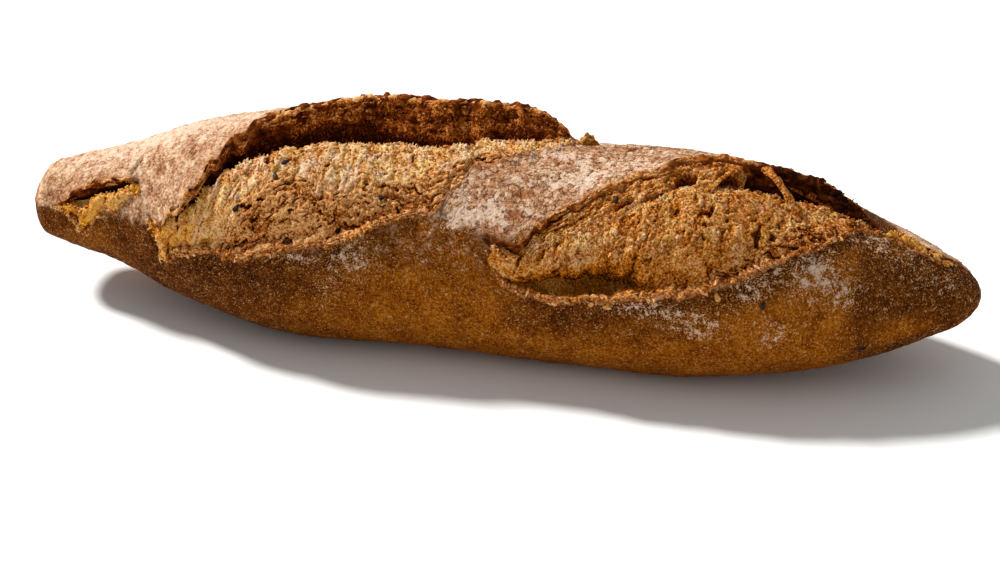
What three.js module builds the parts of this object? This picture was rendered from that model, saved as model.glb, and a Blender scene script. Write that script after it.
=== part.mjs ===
// Rustic baguette: a short, hand-shaped loaf whose diagonal scores tore open in the oven.
// One closed solid, in millimetres. +X runs along the loaf, +Z is up, and the scores open towards -Y.
// The origin is at the middle of the loaf's box, on the surface that it rests on.
import * as THREE from "three";
import { mergeVertices } from "three/addons/utils/BufferGeometryUtils.js";

const { lerp, clamp, smoothstep, degToRad } = THREE.MathUtils;

// Driving dimensions of the loaf where it is fullest, before it tears.
const HALF_LENGTH = 155;
const HALF_WIDTH = 42;
const CROWN = 36; // the top above the loaf's axis
const KEEL = 33; // the underside below the axis, before the oven floor flattens it
const UNDERSIDE_SQUARENESS = 2.8; // exponent of the superellipse below the axis
const LEFT_TIP_ROUND = 7;
const RIGHT_TIP_ROUND = 10;

// Along the loaf: [position, share of the full section], and [position, height of the axis].
const GIRTH = [
  [-155, 0.28], [-140, 0.4], [-122, 0.53], [-104, 0.72], [-86, 0.85], [-62, 0.96], [-15, 0.9], [30, 0.92],
  [65, 0.94], [90, 0.84], [112, 0.69], [130, 0.5], [145, 0.3], [155, 0.2],
];
const AXIS = [[-155, 27], [-110, 30], [-60, 29], [0, 28.3], [110, 28], [155, 27]];

// Slow unevenness left by hand shaping, as two waves over the crust.
const LUMP_HEIGHT = 0.9;
const LUMP_SHARES = [0.6, 0.4];
const LUMP_LENGTHS = [19, 31];
const LUMP_BOW = 1.7; // how far the first wave bows over the loaf
const LUMP_TWIST = 2; // how far the second wave winds around it
const LUMP_START = 0.8;

// The dip in the crust just behind the nose.
const DIP = { depth: 1.6, x: 121, angle: -25, along: 13, around: 40 };

// Mesh resolution: rings along the loaf, and faces in each span around it.
const RINGS = 100;
const TIP_SPACING = 0.86; // below 1, the rings keep some distance from each other at the tips
const SPAN_FACES = [5, 4, 5, 15, 4, 15, 3, 6];
const AROUND = SPAN_FACES.reduce((sum, faces) => sum + faces, 0);
const BACK_CORNER_DEG = -118; // where the flat underside turns up into the back
const BACK_MARGIN_DEG = 20; // the least that a span keeps from that corner
const FRONT_MARGIN_DEG = 16; // crust below the front tear that its lip still moves
const NORMAL_STEP_DEG = 0.6;
const LEAST_GIRTH = 0.1; // keeps the tears' widths finite at the tips
const SEAM = 1e-3;

// A tear's crust and crumb, in millimetres.
const CRUST_THICKNESS = 2.4; // at the root of an ear
const CRUST_SHARE = 0.11; // the most that the crust takes of a narrow tear's width
const EDGE_SHARE = 0.45; // the ear's edge, baked thin, as a share of its root
const RAGGEDNESS = 0.7; // how unevenly the lips are torn
const RAG_LENGTH = 3.5;
const LIP_REACH = 4; // how far the lower lip's ridge spreads on to the crust
const CRAG_HEIGHT = 1.1;
const CRAG_SIZE = 5;
const CRAG_HASH = [127.1, 311.7, 74.7, 43758.5453]; // scatters the crags repeatably

// The corners of a torn section, as shares of the band's faces from the upper lip to the lower one.
const CORNERS = {
  edge: 0.05, root: 0.11, crevice: 0.18, back: 0.26, crest: 0.36, crown: 0.52, shoulder: 0.68, slope: 0.81,
  ledge: 0.9, lip: 0.95,
};

// How the corners behind the crest follow from the tear's own heights and depths, as shares of them.
const EDGE_DROP = 0.5; // how far an edge is rounded off, of its thickness
const ROOT_SHARE = 0.3; // the ear's root, of its height and of its lean
const CREVICE_WAY = 0.35; // the crevice's bottom, of the way to the crest
const BACK_WAY = 0.8; // the crumb's back, of the way from the ear's root to the crest
const BACK_DEPTH = 0.45; // the crumb's back below its crest, of the gap
const LIP_SHARE = 0.7; // the lower lip's inside, of its height

// From the crest to the lower lip: the share of the way there, and the shares of the bulge and of the ledge.
const FRONT_CORNERS = [
  { corner: "crown", way: 0.3, bulge: 1.1, ledge: 0.05 },
  { corner: "shoulder", way: 0.56, bulge: 0.8, ledge: 0.26 },
  { corner: "slope", way: 0.78, bulge: 0.2, ledge: 0.6 },
  { corner: "ledge", way: 0.91, bulge: 0, ledge: 1 },
];

// Where the two bands of tears lie: position along the loaf, and degrees from the top, positive to the front.
// The back band holds the tail tear and the long tear, and the front band the wide tear and the nose tear.
const BACK_BAND = {
  upper: [
    [-155, 66], [-143, 64], [-136, 54], [-131, 46], [-118, 41], [-113, 44], [-106, 67], [-99, 61],
    [-92, 45], [-87, 29], [-82, 18], [-71, 3], [-55, -8], [-20, -13], [8, -17], [24, -20], [50, -40],
    [155, -55],
  ],
  lower: [
    [-155, 80], [-142, 77], [-138, 85], [-132, 91], [-126, 68], [-122, 70], [-118, 61], [-114, 53],
    [-109, 78], [-103, 95], [-97, 87], [-78, 81], [-55, 70], [-42, 64], [-20, 46], [-12, 40], [-5, 13],
    [7, 6], [15, -3], [22, -13], [50, -26], [155, -35],
  ],
};
const FRONT_BAND = {
  upper: [
    [-155, 114], [-60, 102], [-20, 74], [0, 50], [6, 55], [15, 55], [19, 46], [29, 34], [43, 19], [54, 10],
    [60, 2], [73, -3], [88, -9], [104, -10], [116, -1], [126, 2], [138, -2], [155, 0],
  ],
  lower: [
    [-155, 130], [-60, 119], [-20, 97], [-2, 66], [6, 73], [11, 79], [20, 82], [31, 82], [48, 78], [66, 72],
    [86, 58], [97, 47], [109, 30], [117, 12], [124, 11], [131, 12], [139, 10], [155, 20],
  ],
};

// Each tear: the stretch that it opens over, how it opens at its ends, and its heights and depths along it.
// reach: how far behind the upper lip the crust lifts. crest: where the crumb stands highest, of the width.
// ear: height of the lifted upper lip. lean: how far the ear tips over the opening. gap: depth under the ear.
// bulge: height of the crumb. ledge: depth behind the lower lip. ridge: height of the lower lip.
const TEARS = [
  {
    band: BACK_BAND, from: -146, to: -112, ramp: [7, 6], reach: 12, crest: 0.5,
    ear: [[-146, 0.8], [-130, 2.2], [-118, 2.8], [-112, 1.6]],
    lean: [[-146, 0], [-112, 0.5]],
    gap: [[-146, 2], [-135, 3.5], [-120, 4.6], [-112, 3]],
    bulge: [[-146, 0.2], [-136, 1.2], [-124, 1.4], [-112, 0.5]],
    ledge: [[-146, 1], [-112, 1]],
    ridge: [[-146, 0.4], [-112, 0.4]],
  },
  {
    band: BACK_BAND, from: -110, to: 25, ramp: [12, 8], reach: 27, crest: 0.31,
    ear: [[-110, 2], [-95, 4], [-80, 5], [-60, 6], [-35, 10], [0, 11.5], [12, 9], [20, 3.5], [25, 1]],
    lean: [[-110, 2], [-90, 1.5], [-75, 0], [-50, -2], [-20, -3], [25, -3]],
    gap: [[-110, 3], [-90, 6], [-40, 7], [10, 6], [25, 3]],
    bulge: [[-110, 0.5], [-80, 1.5], [-40, 1.5], [25, 0.5]],
    ledge: [[-110, 0.5], [-92, 0.8], [-80, 1.4], [-40, 1.2], [25, 0.6]],
    ridge: [[-110, 0.8], [-60, 1.4], [-20, 1], [25, 0.4]],
  },
  {
    band: FRONT_BAND, from: -3, to: 125, ramp: [14, 10], reach: 16, crest: 0.28,
    ear: [[-3, 1.5], [30, 2], [60, 4.2], [85, 5.5], [105, 4.8], [112, 4.6], [117, 3.4], [125, 0.2]],
    lean: [[-3, 1], [60, 0], [90, 0.5], [125, 0.5]],
    gap: [
      [-3, 1.5], [38, 2], [45, 4.5], [49, 2], [54, 5], [58, 2.5], [63, 6], [68, 3], [76, 6], [82, 6],
      [88, 3.5], [96, 6], [110, 6.5], [118, 5], [125, 3],
    ],
    bulge: [[-3, 0], [40, 1], [70, 2], [86, 1.2], [98, -0.5], [116, -0.5], [125, 0.3]],
    ledge: [[-3, 0.5], [8, 1.2], [15, 3.6], [23, 5.4], [40, 5], [50, 2.8], [60, 1.6], [80, 0.8], [125, 0.5]],
    ridge: [[-3, 0], [9, 0.3], [18, 1.8], [55, 2], [75, 1], [125, 0.5]],
  },
  {
    band: FRONT_BAND, from: 122, to: 145, ramp: [4, 5], reach: 8, crest: 0.4,
    ear: [[122, 0.6], [141, 0.4]],
    lean: [[122, 0], [141, 0]],
    gap: [[122, 1.6], [141, 1]],
    bulge: [[122, 1], [132, 1.2], [141, 0.8]],
    ledge: [[122, 0.8], [141, 0.8]],
    ridge: [[122, 0.3], [141, 0.3]],
  },
];

/** A smooth curve through [position, value] points, held level past its ends. */
function curveThrough(points) {
  const curve = new THREE.CubicInterpolant(
    new Float32Array(points.map((point) => point[0])),
    new Float32Array(points.map((point) => point[1])),
    1,
    new Float32Array(1),
  );
  return (position) => curve.evaluate(position)[0];
}

const girthAt = curveThrough(GIRTH);
const axisAt = curveThrough(AXIS);
for (const band of [BACK_BAND, FRONT_BAND]) {
  band.upperAt = curveThrough(band.upper);
  band.lowerAt = curveThrough(band.lower);
}
for (const tear of TEARS) {
  for (const field of ["ear", "lean", "gap", "bulge", "ledge", "ridge"]) {
    tear[`${field}At`] = curveThrough(tear[field]);
  }
}

/** How full the loaf is at a station, rounded off to 0 at its tips. */
function girth(x) {
  const inFromTip = Math.min((HALF_LENGTH + x) / LEFT_TIP_ROUND, (HALF_LENGTH - x) / RIGHT_TIP_ROUND);
  const tip = 1 - clamp(inFromTip, 0, 1);
  return girthAt(x) * Math.sqrt(1 - tip * tip);
}

/** The untorn loaf's section at a station: the [y, z] of an angle in degrees from the top. */
function sectionPoint(x, angle) {
  const size = girth(x);
  const sine = Math.sin(degToRad(angle));
  const cosine = Math.cos(degToRad(angle));
  const power = cosine < 0 ? 2 / UNDERSIDE_SQUARENESS : 1;
  const across = -HALF_WIDTH * size * Math.sign(sine) * Math.abs(sine) ** power;
  const rise = cosine < 0 ? -KEEL * Math.abs(cosine) ** power : CROWN * cosine;
  return [across, axisAt(x) + size * rise];
}

/** The section's outward normal at an angle, as [y, z]. */
function sectionNormal(x, angle) {
  const [y0, z0] = sectionPoint(x, angle - NORMAL_STEP_DEG);
  const [y1, z1] = sectionPoint(x, angle + NORMAL_STEP_DEG);
  const length = Math.hypot(y1 - y0, z1 - z0) || 1;
  return [(z1 - z0) / length, (y0 - y1) / length];
}

/** A repeatable number from 0 to 1 for a lattice point. */
function lattice(i, j, k) {
  const mixed = Math.sin(i * CRAG_HASH[0] + j * CRAG_HASH[1] + k * CRAG_HASH[2]) * CRAG_HASH[3];
  return mixed - Math.floor(mixed);
}

/** Smooth lattice noise from -1 to 1. */
function crags(x, y, z) {
  const cell = [x, y, z].map(Math.floor);
  const share = [x, y, z].map((value, axis) => smoothstep(value - cell[axis], 0, 1));
  let sum = 0;
  for (let corner = 0; corner < 8; corner += 1) {
    const offset = [corner & 1, (corner >> 1) & 1, corner >> 2];
    const weight = offset.reduce((all, on, axis) => all * (on ? share[axis] : 1 - share[axis]), 1);
    sum += weight * lattice(cell[0] + offset[0], cell[1] + offset[1], cell[2] + offset[2]);
  }
  return 2 * sum - 1;
}

/** Slow waves over the crust, from -1 to 1. */
function lumps(x, angle) {
  const turn = degToRad(angle);
  const first = Math.sin(x / LUMP_LENGTHS[0] + LUMP_BOW * Math.sin(turn));
  const second = Math.sin(x / LUMP_LENGTHS[1] - LUMP_TWIST * turn + LUMP_START);
  return LUMP_SHARES[0] * first + LUMP_SHARES[1] * second;
}

/** The depth of the dip behind the nose. */
function dip(x, angle) {
  return DIP.depth * Math.exp(-(((x - DIP.x) / DIP.along) ** 2) - ((angle - DIP.angle) / DIP.around) ** 2);
}

/** How far a tear has opened at a station, from 0 at its ends to 1. */
function opening(tear, x) {
  const begins = smoothstep(x, tear.from, tear.from + tear.ramp[0]);
  const ends = smoothstep(x, tear.to - tear.ramp[1], tear.to);
  return begins * (1 - ends);
}

/** The height of a tear's ragged upper or lower lip at a station. */
function lipHeight(tear, x, smoothHeight) {
  const ragged = RAGGEDNESS * crags(x / RAG_LENGTH, tear.from, smoothHeight === tear.ridgeAt ? 1 : 0);
  return Math.max(smoothHeight(x) + ragged, 0);
}

/**
 * The torn section from lip to lip, as [share of the band, millimetres across it from the upper lip, height].
 * It climbs down the inside of the ear, crosses the crevice, rolls over the crumb and climbs the lower lip.
 */
function tornProfile(tear, x, width) {
  const ear = lipHeight(tear, x, tear.earAt);
  const ridge = lipHeight(tear, x, tear.ridgeAt);
  const lean = tear.leanAt(x);
  const bulge = tear.bulgeAt(x);
  const gap = tear.gapAt(x);
  const ledge = tear.ledgeAt(x);
  const crest = tear.crest * width;
  const root = Math.min(CRUST_THICKNESS, CRUST_SHARE * width);
  const edge = EDGE_SHARE * root;
  const front = FRONT_CORNERS.map((at) => [
    CORNERS[at.corner],
    lerp(crest, width, at.way),
    at.bulge * bulge - at.ledge * ledge,
  ]);
  return [
    [0, lean, ear],
    [CORNERS.edge, lean + edge, ear - EDGE_DROP * edge],
    [CORNERS.root, ROOT_SHARE * lean + root, ROOT_SHARE * ear],
    [CORNERS.crevice, CREVICE_WAY * crest + root, -gap],
    [CORNERS.back, lerp(root, crest, BACK_WAY), bulge - BACK_DEPTH * gap],
    [CORNERS.crest, crest, bulge],
    ...front,
    [CORNERS.lip, width - EDGE_DROP * edge, LIP_SHARE * ridge],
    [1, width, ridge],
  ];
}

/** Where a share of the torn profile lies: [millimetres across, height]. */
function alongProfile(profile, share) {
  const next = Math.max(1, profile.findIndex((point) => point[0] >= share));
  const [shareA, acrossA, heightA] = profile[next - 1];
  const [shareB, acrossB, heightB] = profile[next];
  const part = (share - shareA) / (shareB - shareA);
  return [lerp(acrossA, acrossB, part), lerp(heightA, heightB, part)];
}

/** How a tear moves a section's point: degrees around, millimetres out, and its share of bare crumb. */
function tearMove(tear, x, angle, perDegree) {
  const open = opening(tear, x);
  const upper = tear.band.upperAt(x);
  const lower = tear.band.lowerAt(x);
  if (open === 0) return { around: 0, out: 0, crumb: 0 };
  if (angle < upper) {
    const lift = open * clamp(1 - ((upper - angle) * perDegree) / tear.reach, 0, 1) ** 2;
    const around = (lift * tear.leanAt(x)) / perDegree;
    return { around, out: lift * lipHeight(tear, x, tear.earAt), crumb: 0 };
  }
  if (angle > lower) {
    const away = ((angle - lower) * perDegree) / LIP_REACH;
    return { around: 0, out: open * lipHeight(tear, x, tear.ridgeAt) * Math.exp(-away * away), crumb: 0 };
  }
  const share = (angle - upper) / (lower - upper);
  const [across, height] = alongProfile(tornProfile(tear, x, (lower - upper) * perDegree), share);
  const past = smoothstep(share, CORNERS.root, CORNERS.back);
  const before = 1 - smoothstep(share, CORNERS.slope, CORNERS.lip);
  const around = open * (across / perDegree - (angle - upper));
  return { around, out: open * height, crumb: open * past * before };
}

/** The angles, in degrees, where the spans around the loaf begin and end at a station. */
function spanAngles(x, perDegree) {
  const earReach = Math.max(...TEARS.filter((tear) => tear.band === BACK_BAND).map((tear) => tear.reach));
  const backUpper = BACK_BAND.upperAt(x);
  const frontLower = FRONT_BAND.lowerAt(x);
  return [
    -180,
    BACK_CORNER_DEG,
    Math.max(backUpper - earReach / perDegree, BACK_CORNER_DEG + BACK_MARGIN_DEG),
    backUpper,
    BACK_BAND.lowerAt(x),
    FRONT_BAND.upperAt(x),
    frontLower,
    frontLower + FRONT_MARGIN_DEG,
    180,
  ];
}

/** A point of the torn loaf's skin: the station along it, and a count of faces around it. */
function skinPoint(x, count) {
  const perDegree = degToRad(Math.max(girth(x), LEAST_GIRTH) * lerp(HALF_WIDTH, CROWN, 0.5));
  const angles = spanAngles(x, perDegree);
  let span = 0;
  let inSpan = count;
  while (span < SPAN_FACES.length - 1 && inSpan > SPAN_FACES[span]) {
    inSpan -= SPAN_FACES[span];
    span += 1;
  }
  const angle = lerp(angles[span], angles[span + 1], inSpan / SPAN_FACES[span]);
  const moves = TEARS.map((tear) => tearMove(tear, x, angle, perDegree));
  const total = (key) => moves.reduce((sum, move) => sum + move[key], 0);
  const turned = angle + total("around");
  const [y, z] = sectionPoint(x, turned);
  const [normalY, normalZ] = sectionNormal(x, turned);
  const roughness = total("crumb") * CRAG_HEIGHT * crags(x / CRAG_SIZE, y / CRAG_SIZE, z / CRAG_SIZE);
  const out = total("out") + roughness + LUMP_HEIGHT * girth(x) * lumps(x, turned) - dip(x, turned);
  return new THREE.Vector3(x, y + out * normalY, Math.max(z + out * normalZ, 0));
}

/** The loaf as a closed shape: a ball whose rings are drawn out along X and torn open. */
function loafGeometry() {
  const ball = new THREE.SphereGeometry(1, AROUND, RINGS);
  const { position, uv } = ball.attributes;
  for (let i = 0; i < position.count; i += 1) {
    const bearing = (uv.getY(i) - 0.5) * Math.PI * TIP_SPACING;
    const x = (HALF_LENGTH * Math.sin(bearing)) / Math.sin((Math.PI / 2) * TIP_SPACING);
    const point = skinPoint(clamp(x, -HALF_LENGTH, HALF_LENGTH), uv.getX(i) * AROUND);
    position.setXYZ(i, point.x, point.y, point.z);
  }
  ball.deleteAttribute("normal");
  ball.deleteAttribute("uv");
  const closed = mergeVertices(ball, SEAM);
  closed.computeBoundingBox();
  const { min, max } = closed.boundingBox;
  closed.translate(-(min.x + max.x) / 2, -(min.y + max.y) / 2, -min.z);
  closed.computeVertexNormals();
  return closed;
}

const crust = new THREE.MeshStandardMaterial({ color: 0x9a5a26, roughness: 0.8, metalness: 0 });
const loaf = new THREE.Mesh(loafGeometry(), crust);
loaf.name = "loaf";

const baguette = new THREE.Group();
baguette.add(loaf);

export default baguette;
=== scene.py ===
"""Dresses the rustic baguette: its torn, floured loaf, the open crumb in the scores, and the seeds in it.

The loaf's form is worked out in millimetres, as its solid is, and put into the frame in metres.
Around a section, 0 degrees is the top and positive angles go to the front (-Y).
Along the loaf, +X is the pointed nose.
"""
import logging
import math
from collections.abc import Sequence
from dataclasses import dataclass, field
from enum import Enum
from typing import Protocol

import bpy
import numpy as np
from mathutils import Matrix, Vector
from mathutils.bvhtree import BVHTree


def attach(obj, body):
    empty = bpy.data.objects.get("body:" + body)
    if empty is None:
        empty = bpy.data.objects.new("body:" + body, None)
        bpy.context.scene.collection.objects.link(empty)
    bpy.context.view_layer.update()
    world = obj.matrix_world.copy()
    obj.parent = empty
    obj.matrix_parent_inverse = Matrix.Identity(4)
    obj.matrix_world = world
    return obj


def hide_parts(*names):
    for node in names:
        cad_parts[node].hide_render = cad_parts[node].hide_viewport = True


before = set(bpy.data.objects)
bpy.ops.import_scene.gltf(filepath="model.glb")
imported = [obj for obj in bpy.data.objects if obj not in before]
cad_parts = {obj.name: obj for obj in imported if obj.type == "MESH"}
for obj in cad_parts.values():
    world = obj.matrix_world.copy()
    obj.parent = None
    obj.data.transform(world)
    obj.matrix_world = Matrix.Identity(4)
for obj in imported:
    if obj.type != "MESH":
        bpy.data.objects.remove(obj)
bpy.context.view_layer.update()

log = logging.getLogger("baguette")

MM = 0.001
BODY = "root"
NODE = "loaf"

Array = np.ndarray
Course = Sequence[tuple[float, float]]
Ramp = Sequence[tuple[float, str]]
Stretch = tuple[float, float, float, float]


def course_at(course: Course, position: Array) -> Array:
    """A smooth curve through points, held level past its ends.

    Args:
        course: (position, value) points in order of position.
        position: where to read the curve.

    Returns:
        The curve's value at each position.
    """
    places, values = np.asarray(course, float).T
    return curve_at(places, values[:, None], np.clip(position, places[0], places[-1]))


def curve_at(places: Array, rows: Array, where: Array) -> Array:
    """Reads a smooth curve through points, or one such curve for each place that is read.

    Args:
        places: the points' places, in order.
        rows: the points' values, as (points, 1) for one curve or (points, n) for n of them.
        where: the n places to read.

    Returns:
        The curves' values, as (n,).
    """
    gaps = np.diff(places)
    slopes = np.diff(rows, axis=0) / gaps[:, None]
    lean = np.concatenate([slopes[:1], 0.5 * (slopes[1:] + slopes[:-1]), slopes[-1:]])
    i = np.clip(np.searchsorted(places, where, side="right") - 1, 0, len(places) - 2)
    own = np.arange(rows.shape[1])
    gap = gaps[i]
    t = (where - places[i]) / gap
    return (
        (2 * t**3 - 3 * t**2 + 1) * rows[i, own]
        + (t**3 - 2 * t**2 + t) * gap * lean[i, own]
        + (3 * t**2 - 2 * t**3) * rows[i + 1, own]
        + (t**3 - t**2) * gap * lean[i + 1, own]
    )


def step(value: Array, low: float | Array, high: float | Array) -> Array:
    """A smooth step from 0 at low to 1 at high."""
    t = np.clip((value - low) / (high - low), 0, 1)
    return t * t * (3 - 2 * t)


def soft_stretch(x: Array, stretch: Stretch) -> Array:
    """A stretch of the loaf with soft ends.

    Args:
        x: stations along the loaf.
        stretch: where it begins, where it is full, where it begins to end and where it has ended.

    Returns:
        0 outside the stretch and 1 in its middle, at each station.
    """
    begins, full, wanes, ends = stretch
    return step(x, begins, full) * (1 - step(x, wanes, ends))


def bell(away: Array) -> Array:
    """A bell curve that is 1 at 0."""
    return np.exp(-np.square(away))


class Noise:
    """Seeded gradient noise over points in space, for relief.

    Attributes:
        ROWS: rows in the table of gradients.
        STRETCH: what brings the smooth noise to about -1 to 1.
        ROUGH_SHIFT: how far each scale of the rough noise is moved off the one before.
        RIDGE_SHIFT: how far each scale of the sharp-crested noise is moved off the one before.
    """

    ROWS = 256
    STRETCH = 1.6
    ROUGH_SHIFT = 7.3
    RIDGE_SHIFT = 3.1

    def __init__(self, seed: int) -> None:
        """Draws the lattice's gradients.

        Args:
            seed: what makes this noise its own.
        """
        draw = np.random.default_rng(seed)
        self.order = np.concatenate([draw.permutation(self.ROWS)] * 3)
        turned = draw.normal(size=(self.ROWS, 3))
        self.gradients = turned / np.linalg.norm(turned, axis=1, keepdims=True)
        self.offsets = draw.uniform(0.2, 0.8, size=(self.ROWS, 3))

    def _hashed(self, cell: Array) -> Array:
        """The table row of each lattice cell."""
        i, j, k = (cell[..., axis] & self.ROWS - 1 for axis in range(3))
        return self.order[self.order[self.order[i] + j] + k]

    def waves(self, points: Array) -> Array:
        """Smooth noise from about -1 to 1.

        Args:
            points: places in units of the noise's size, as (..., 3).

        Returns:
            One value for each place.
        """
        cell = np.floor(points).astype(int)
        part = points - cell
        fade = part**3 * (part * (part * 6 - 15) + 10)
        total = np.zeros(points.shape[:-1])
        for corner in range(8):
            offset = np.array([corner & 1, corner >> 1 & 1, corner >> 2])
            weight = np.prod(np.where(offset, fade, 1 - fade), axis=-1)
            total += weight * np.sum(self.gradients[self._hashed(cell + offset)] * (part - offset), axis=-1)
        return self.STRETCH * total

    def rough(self, points: Array, octaves: int) -> Array:
        """Noise on several scales, each half as large as the one before, from about -1 to 1."""
        scales = (self.waves(points * 2**n + self.ROUGH_SHIFT * n) / 2**n for n in range(octaves))
        return sum(scales) / (2 - 2.0 ** (1 - octaves))

    def ridges(self, points: Array, octaves: int) -> Array:
        """Sharp-crested noise on several scales, each half as large as the one before.

        Args:
            points: places in units of the largest scale's size, as (..., 3).
            octaves: how many scales there are.

        Returns:
            One value for each place, from 0 in the hollows to 1 on the crests.
        """
        scales = (self.waves(points * 2**n + self.RIDGE_SHIFT * n) for n in range(octaves))
        crests = (np.square(1 - np.abs(scale)) / 2**n for n, scale in enumerate(scales))
        return sum(crests) / (2 - 2.0 ** (1 - octaves))

    def holes(self, points: Array) -> Array:
        """The distance to the nearest of points that are strewn one to a cell.

        Args:
            points: places in units of a cell, as (..., 3).

        Returns:
            The distance from each place, in cells.
        """
        cell = np.floor(points).astype(int)
        nearest = np.full(points.shape[:-1], 9.0)
        for beside in np.ndindex(3, 3, 3):
            other = cell + np.array(beside) - 1
            centre = other + self.offsets[self._hashed(other)]
            nearest = np.minimum(nearest, np.linalg.norm(points - centre, axis=-1))
        return nearest


class Span(Enum):
    """The spans around a section, from its underside over the back, the top and the front."""

    BACK_UNDERSIDE = 0
    BACK_SIDE = 1
    EAR_BACK = 2
    BACK_BAND = 3
    BRIDGE = 4
    FRONT_BAND = 5
    FRONT_MARGIN = 6
    FRONT_UNDERSIDE = 7


@dataclass(frozen=True)
class Band:
    """A slanting band of the loaf where scores tear open.

    Attributes:
        upper: the upper lips' angle along the loaf.
        lower: the lower lips' angle along the loaf.
    """

    upper: Course
    lower: Course


@dataclass(frozen=True)
class Tear:
    """One score that tore open, in millimetres.

    Attributes:
        band: where its lips run.
        start: where it begins along the loaf.
        end: where it ends.
        ramp: how far it takes to open at each end.
        reach: how far behind the upper lip the crust lifts.
        crest: share of the width where the crumb stands highest.
        ear: height of the lifted upper lip.
        lean: how far the ear tips over the opening.
        gap: depth of the crevice under the ear.
        bulge: height of the crumb.
        ledge: depth of the crevice behind the lower lip.
        ridge: height of the lower lip.
    """

    band: Band
    start: float
    end: float
    ramp: tuple[float, float]
    reach: float
    crest: float
    ear: Course
    lean: Course
    gap: Course
    bulge: Course
    ledge: Course
    ridge: Course

    @property
    def span(self) -> int:
        """The index of the span that it opens in."""
        return (Span.BACK_BAND if self.band is BACK_BAND else Span.FRONT_BAND).value

    def opening(self, x: Array) -> Array:
        """How far the tear has opened at each station, from 0 to 1."""
        full, wanes = self.start + self.ramp[0], self.end - self.ramp[1]
        return soft_stretch(x, (self.start, full, wanes, self.end))


BACK_BAND = Band(
    upper=(
        (-155, 66), (-143, 64), (-136, 54), (-131, 46), (-118, 41), (-113, 44), (-107, 66), (-102, 67),
        (-100, 59), (-97, 58), (-94, 47), (-91, 45), (-89, 34), (-86, 31), (-84, 20), (-80, 17), (-77, 8),
        (-71, 4), (-55, -8), (-20, -13), (8, -17), (24, -20), (50, -40), (155, -55),
    ),
    lower=(
        (-155, 80), (-142, 77), (-138, 85), (-132, 91), (-126, 68), (-122, 70), (-118, 61), (-114, 53),
        (-109, 78), (-103, 95), (-97, 87), (-78, 81), (-55, 70), (-42, 64), (-20, 46), (-13, 41),
        (-10.5, 30), (-8.5, 27), (-6, 13), (-1, 11), (7, 6), (15, -3), (22, -13), (50, -26), (155, -35),
    ),
)
FRONT_BAND = Band(
    upper=(
        (-155, 114), (-60, 102), (-20, 74), (0, 50), (6, 55), (15, 55), (19, 46), (29, 34), (43, 19),
        (54, 10), (60, 2), (73, -3), (88, -9), (104, -10), (116, -1), (126, 2), (138, -2), (155, 0),
    ),
    lower=(
        (-155, 130), (-60, 119), (-20, 97), (-2, 66), (6, 73), (11, 79), (20, 82), (31, 82), (48, 78),
        (66, 72), (86, 58), (97, 47), (109, 30), (117, 12), (124, 11), (131, 12), (139, 10), (155, 20),
    ),
)

TAIL_TEAR = Tear(
    band=BACK_BAND, start=-146, end=-112, ramp=(7, 6), reach=12, crest=0.5,
    ear=((-146, 0.8), (-130, 2.2), (-118, 2.8), (-112, 1.6)),
    lean=((-146, 0), (-112, 0.5)),
    gap=((-146, 2), (-135, 3.5), (-120, 4.6), (-112, 3)),
    bulge=((-146, 0.2), (-136, 1.2), (-124, 1.4), (-112, 0.5)),
    ledge=((-146, 1), (-112, 1)),
    ridge=((-146, 0.4), (-112, 0.4)),
)
LONG_TEAR = Tear(
    band=BACK_BAND, start=-110, end=25, ramp=(12, 8), reach=27, crest=0.31,
    ear=((-110, 2), (-95, 4), (-80, 5), (-60, 6), (-35, 10), (0, 11.5), (12, 9), (20, 3.5), (25, 1)),
    lean=((-110, 2), (-90, 1.5), (-75, 0), (-50, -2), (-20, -3), (25, -3)),
    gap=((-110, 3), (-90, 6), (-40, 7), (10, 6), (25, 3)),
    bulge=((-110, 0.5), (-80, 1.5), (-40, 1.5), (25, 0.5)),
    ledge=((-110, 0.5), (-92, 0.8), (-80, 1.4), (-40, 1.2), (25, 0.6)),
    ridge=((-110, 0.8), (-60, 1.4), (-20, 1), (25, 0.4)),
)
WIDE_TEAR = Tear(
    band=FRONT_BAND, start=-3, end=125, ramp=(14, 10), reach=16, crest=0.28,
    ear=((-3, 1.5), (30, 2), (60, 4.2), (85, 5.5), (105, 4.8), (112, 4.6), (117, 3.4), (125, 0.2)),
    lean=((-3, 1), (60, 0), (90, 0.5), (125, 0.5)),
    gap=(
        (-3, 1.5), (38, 2), (45, 4.5), (49, 2), (54, 5), (58, 2.5), (63, 6), (68, 3), (76, 6), (82, 6),
        (88, 3.5), (96, 6), (110, 6.5), (118, 5), (125, 3),
    ),
    bulge=((-3, 0), (40, 1), (70, 2), (86, 1.2), (98, -0.5), (116, -0.5), (125, 0.3)),
    ledge=((-3, 0.5), (8, 1.2), (15, 3.6), (23, 5.4), (40, 5), (50, 2.8), (60, 1.6), (80, 0.8), (125, 0.5)),
    ridge=((-3, 0), (9, 0.3), (18, 1.8), (55, 2), (75, 1), (125, 0.5)),
)
NOSE_TEAR = Tear(
    band=FRONT_BAND, start=122, end=145, ramp=(4, 5), reach=8, crest=0.4,
    ear=((122, 0.6), (141, 0.4)),
    lean=((122, 0), (141, 0)),
    gap=((122, 1.6), (141, 1)),
    bulge=((122, 1), (132, 1.2), (141, 0.8)),
    ledge=((122, 0.8), (141, 0.8)),
    ridge=((122, 0.3), (141, 0.3)),
)


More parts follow.
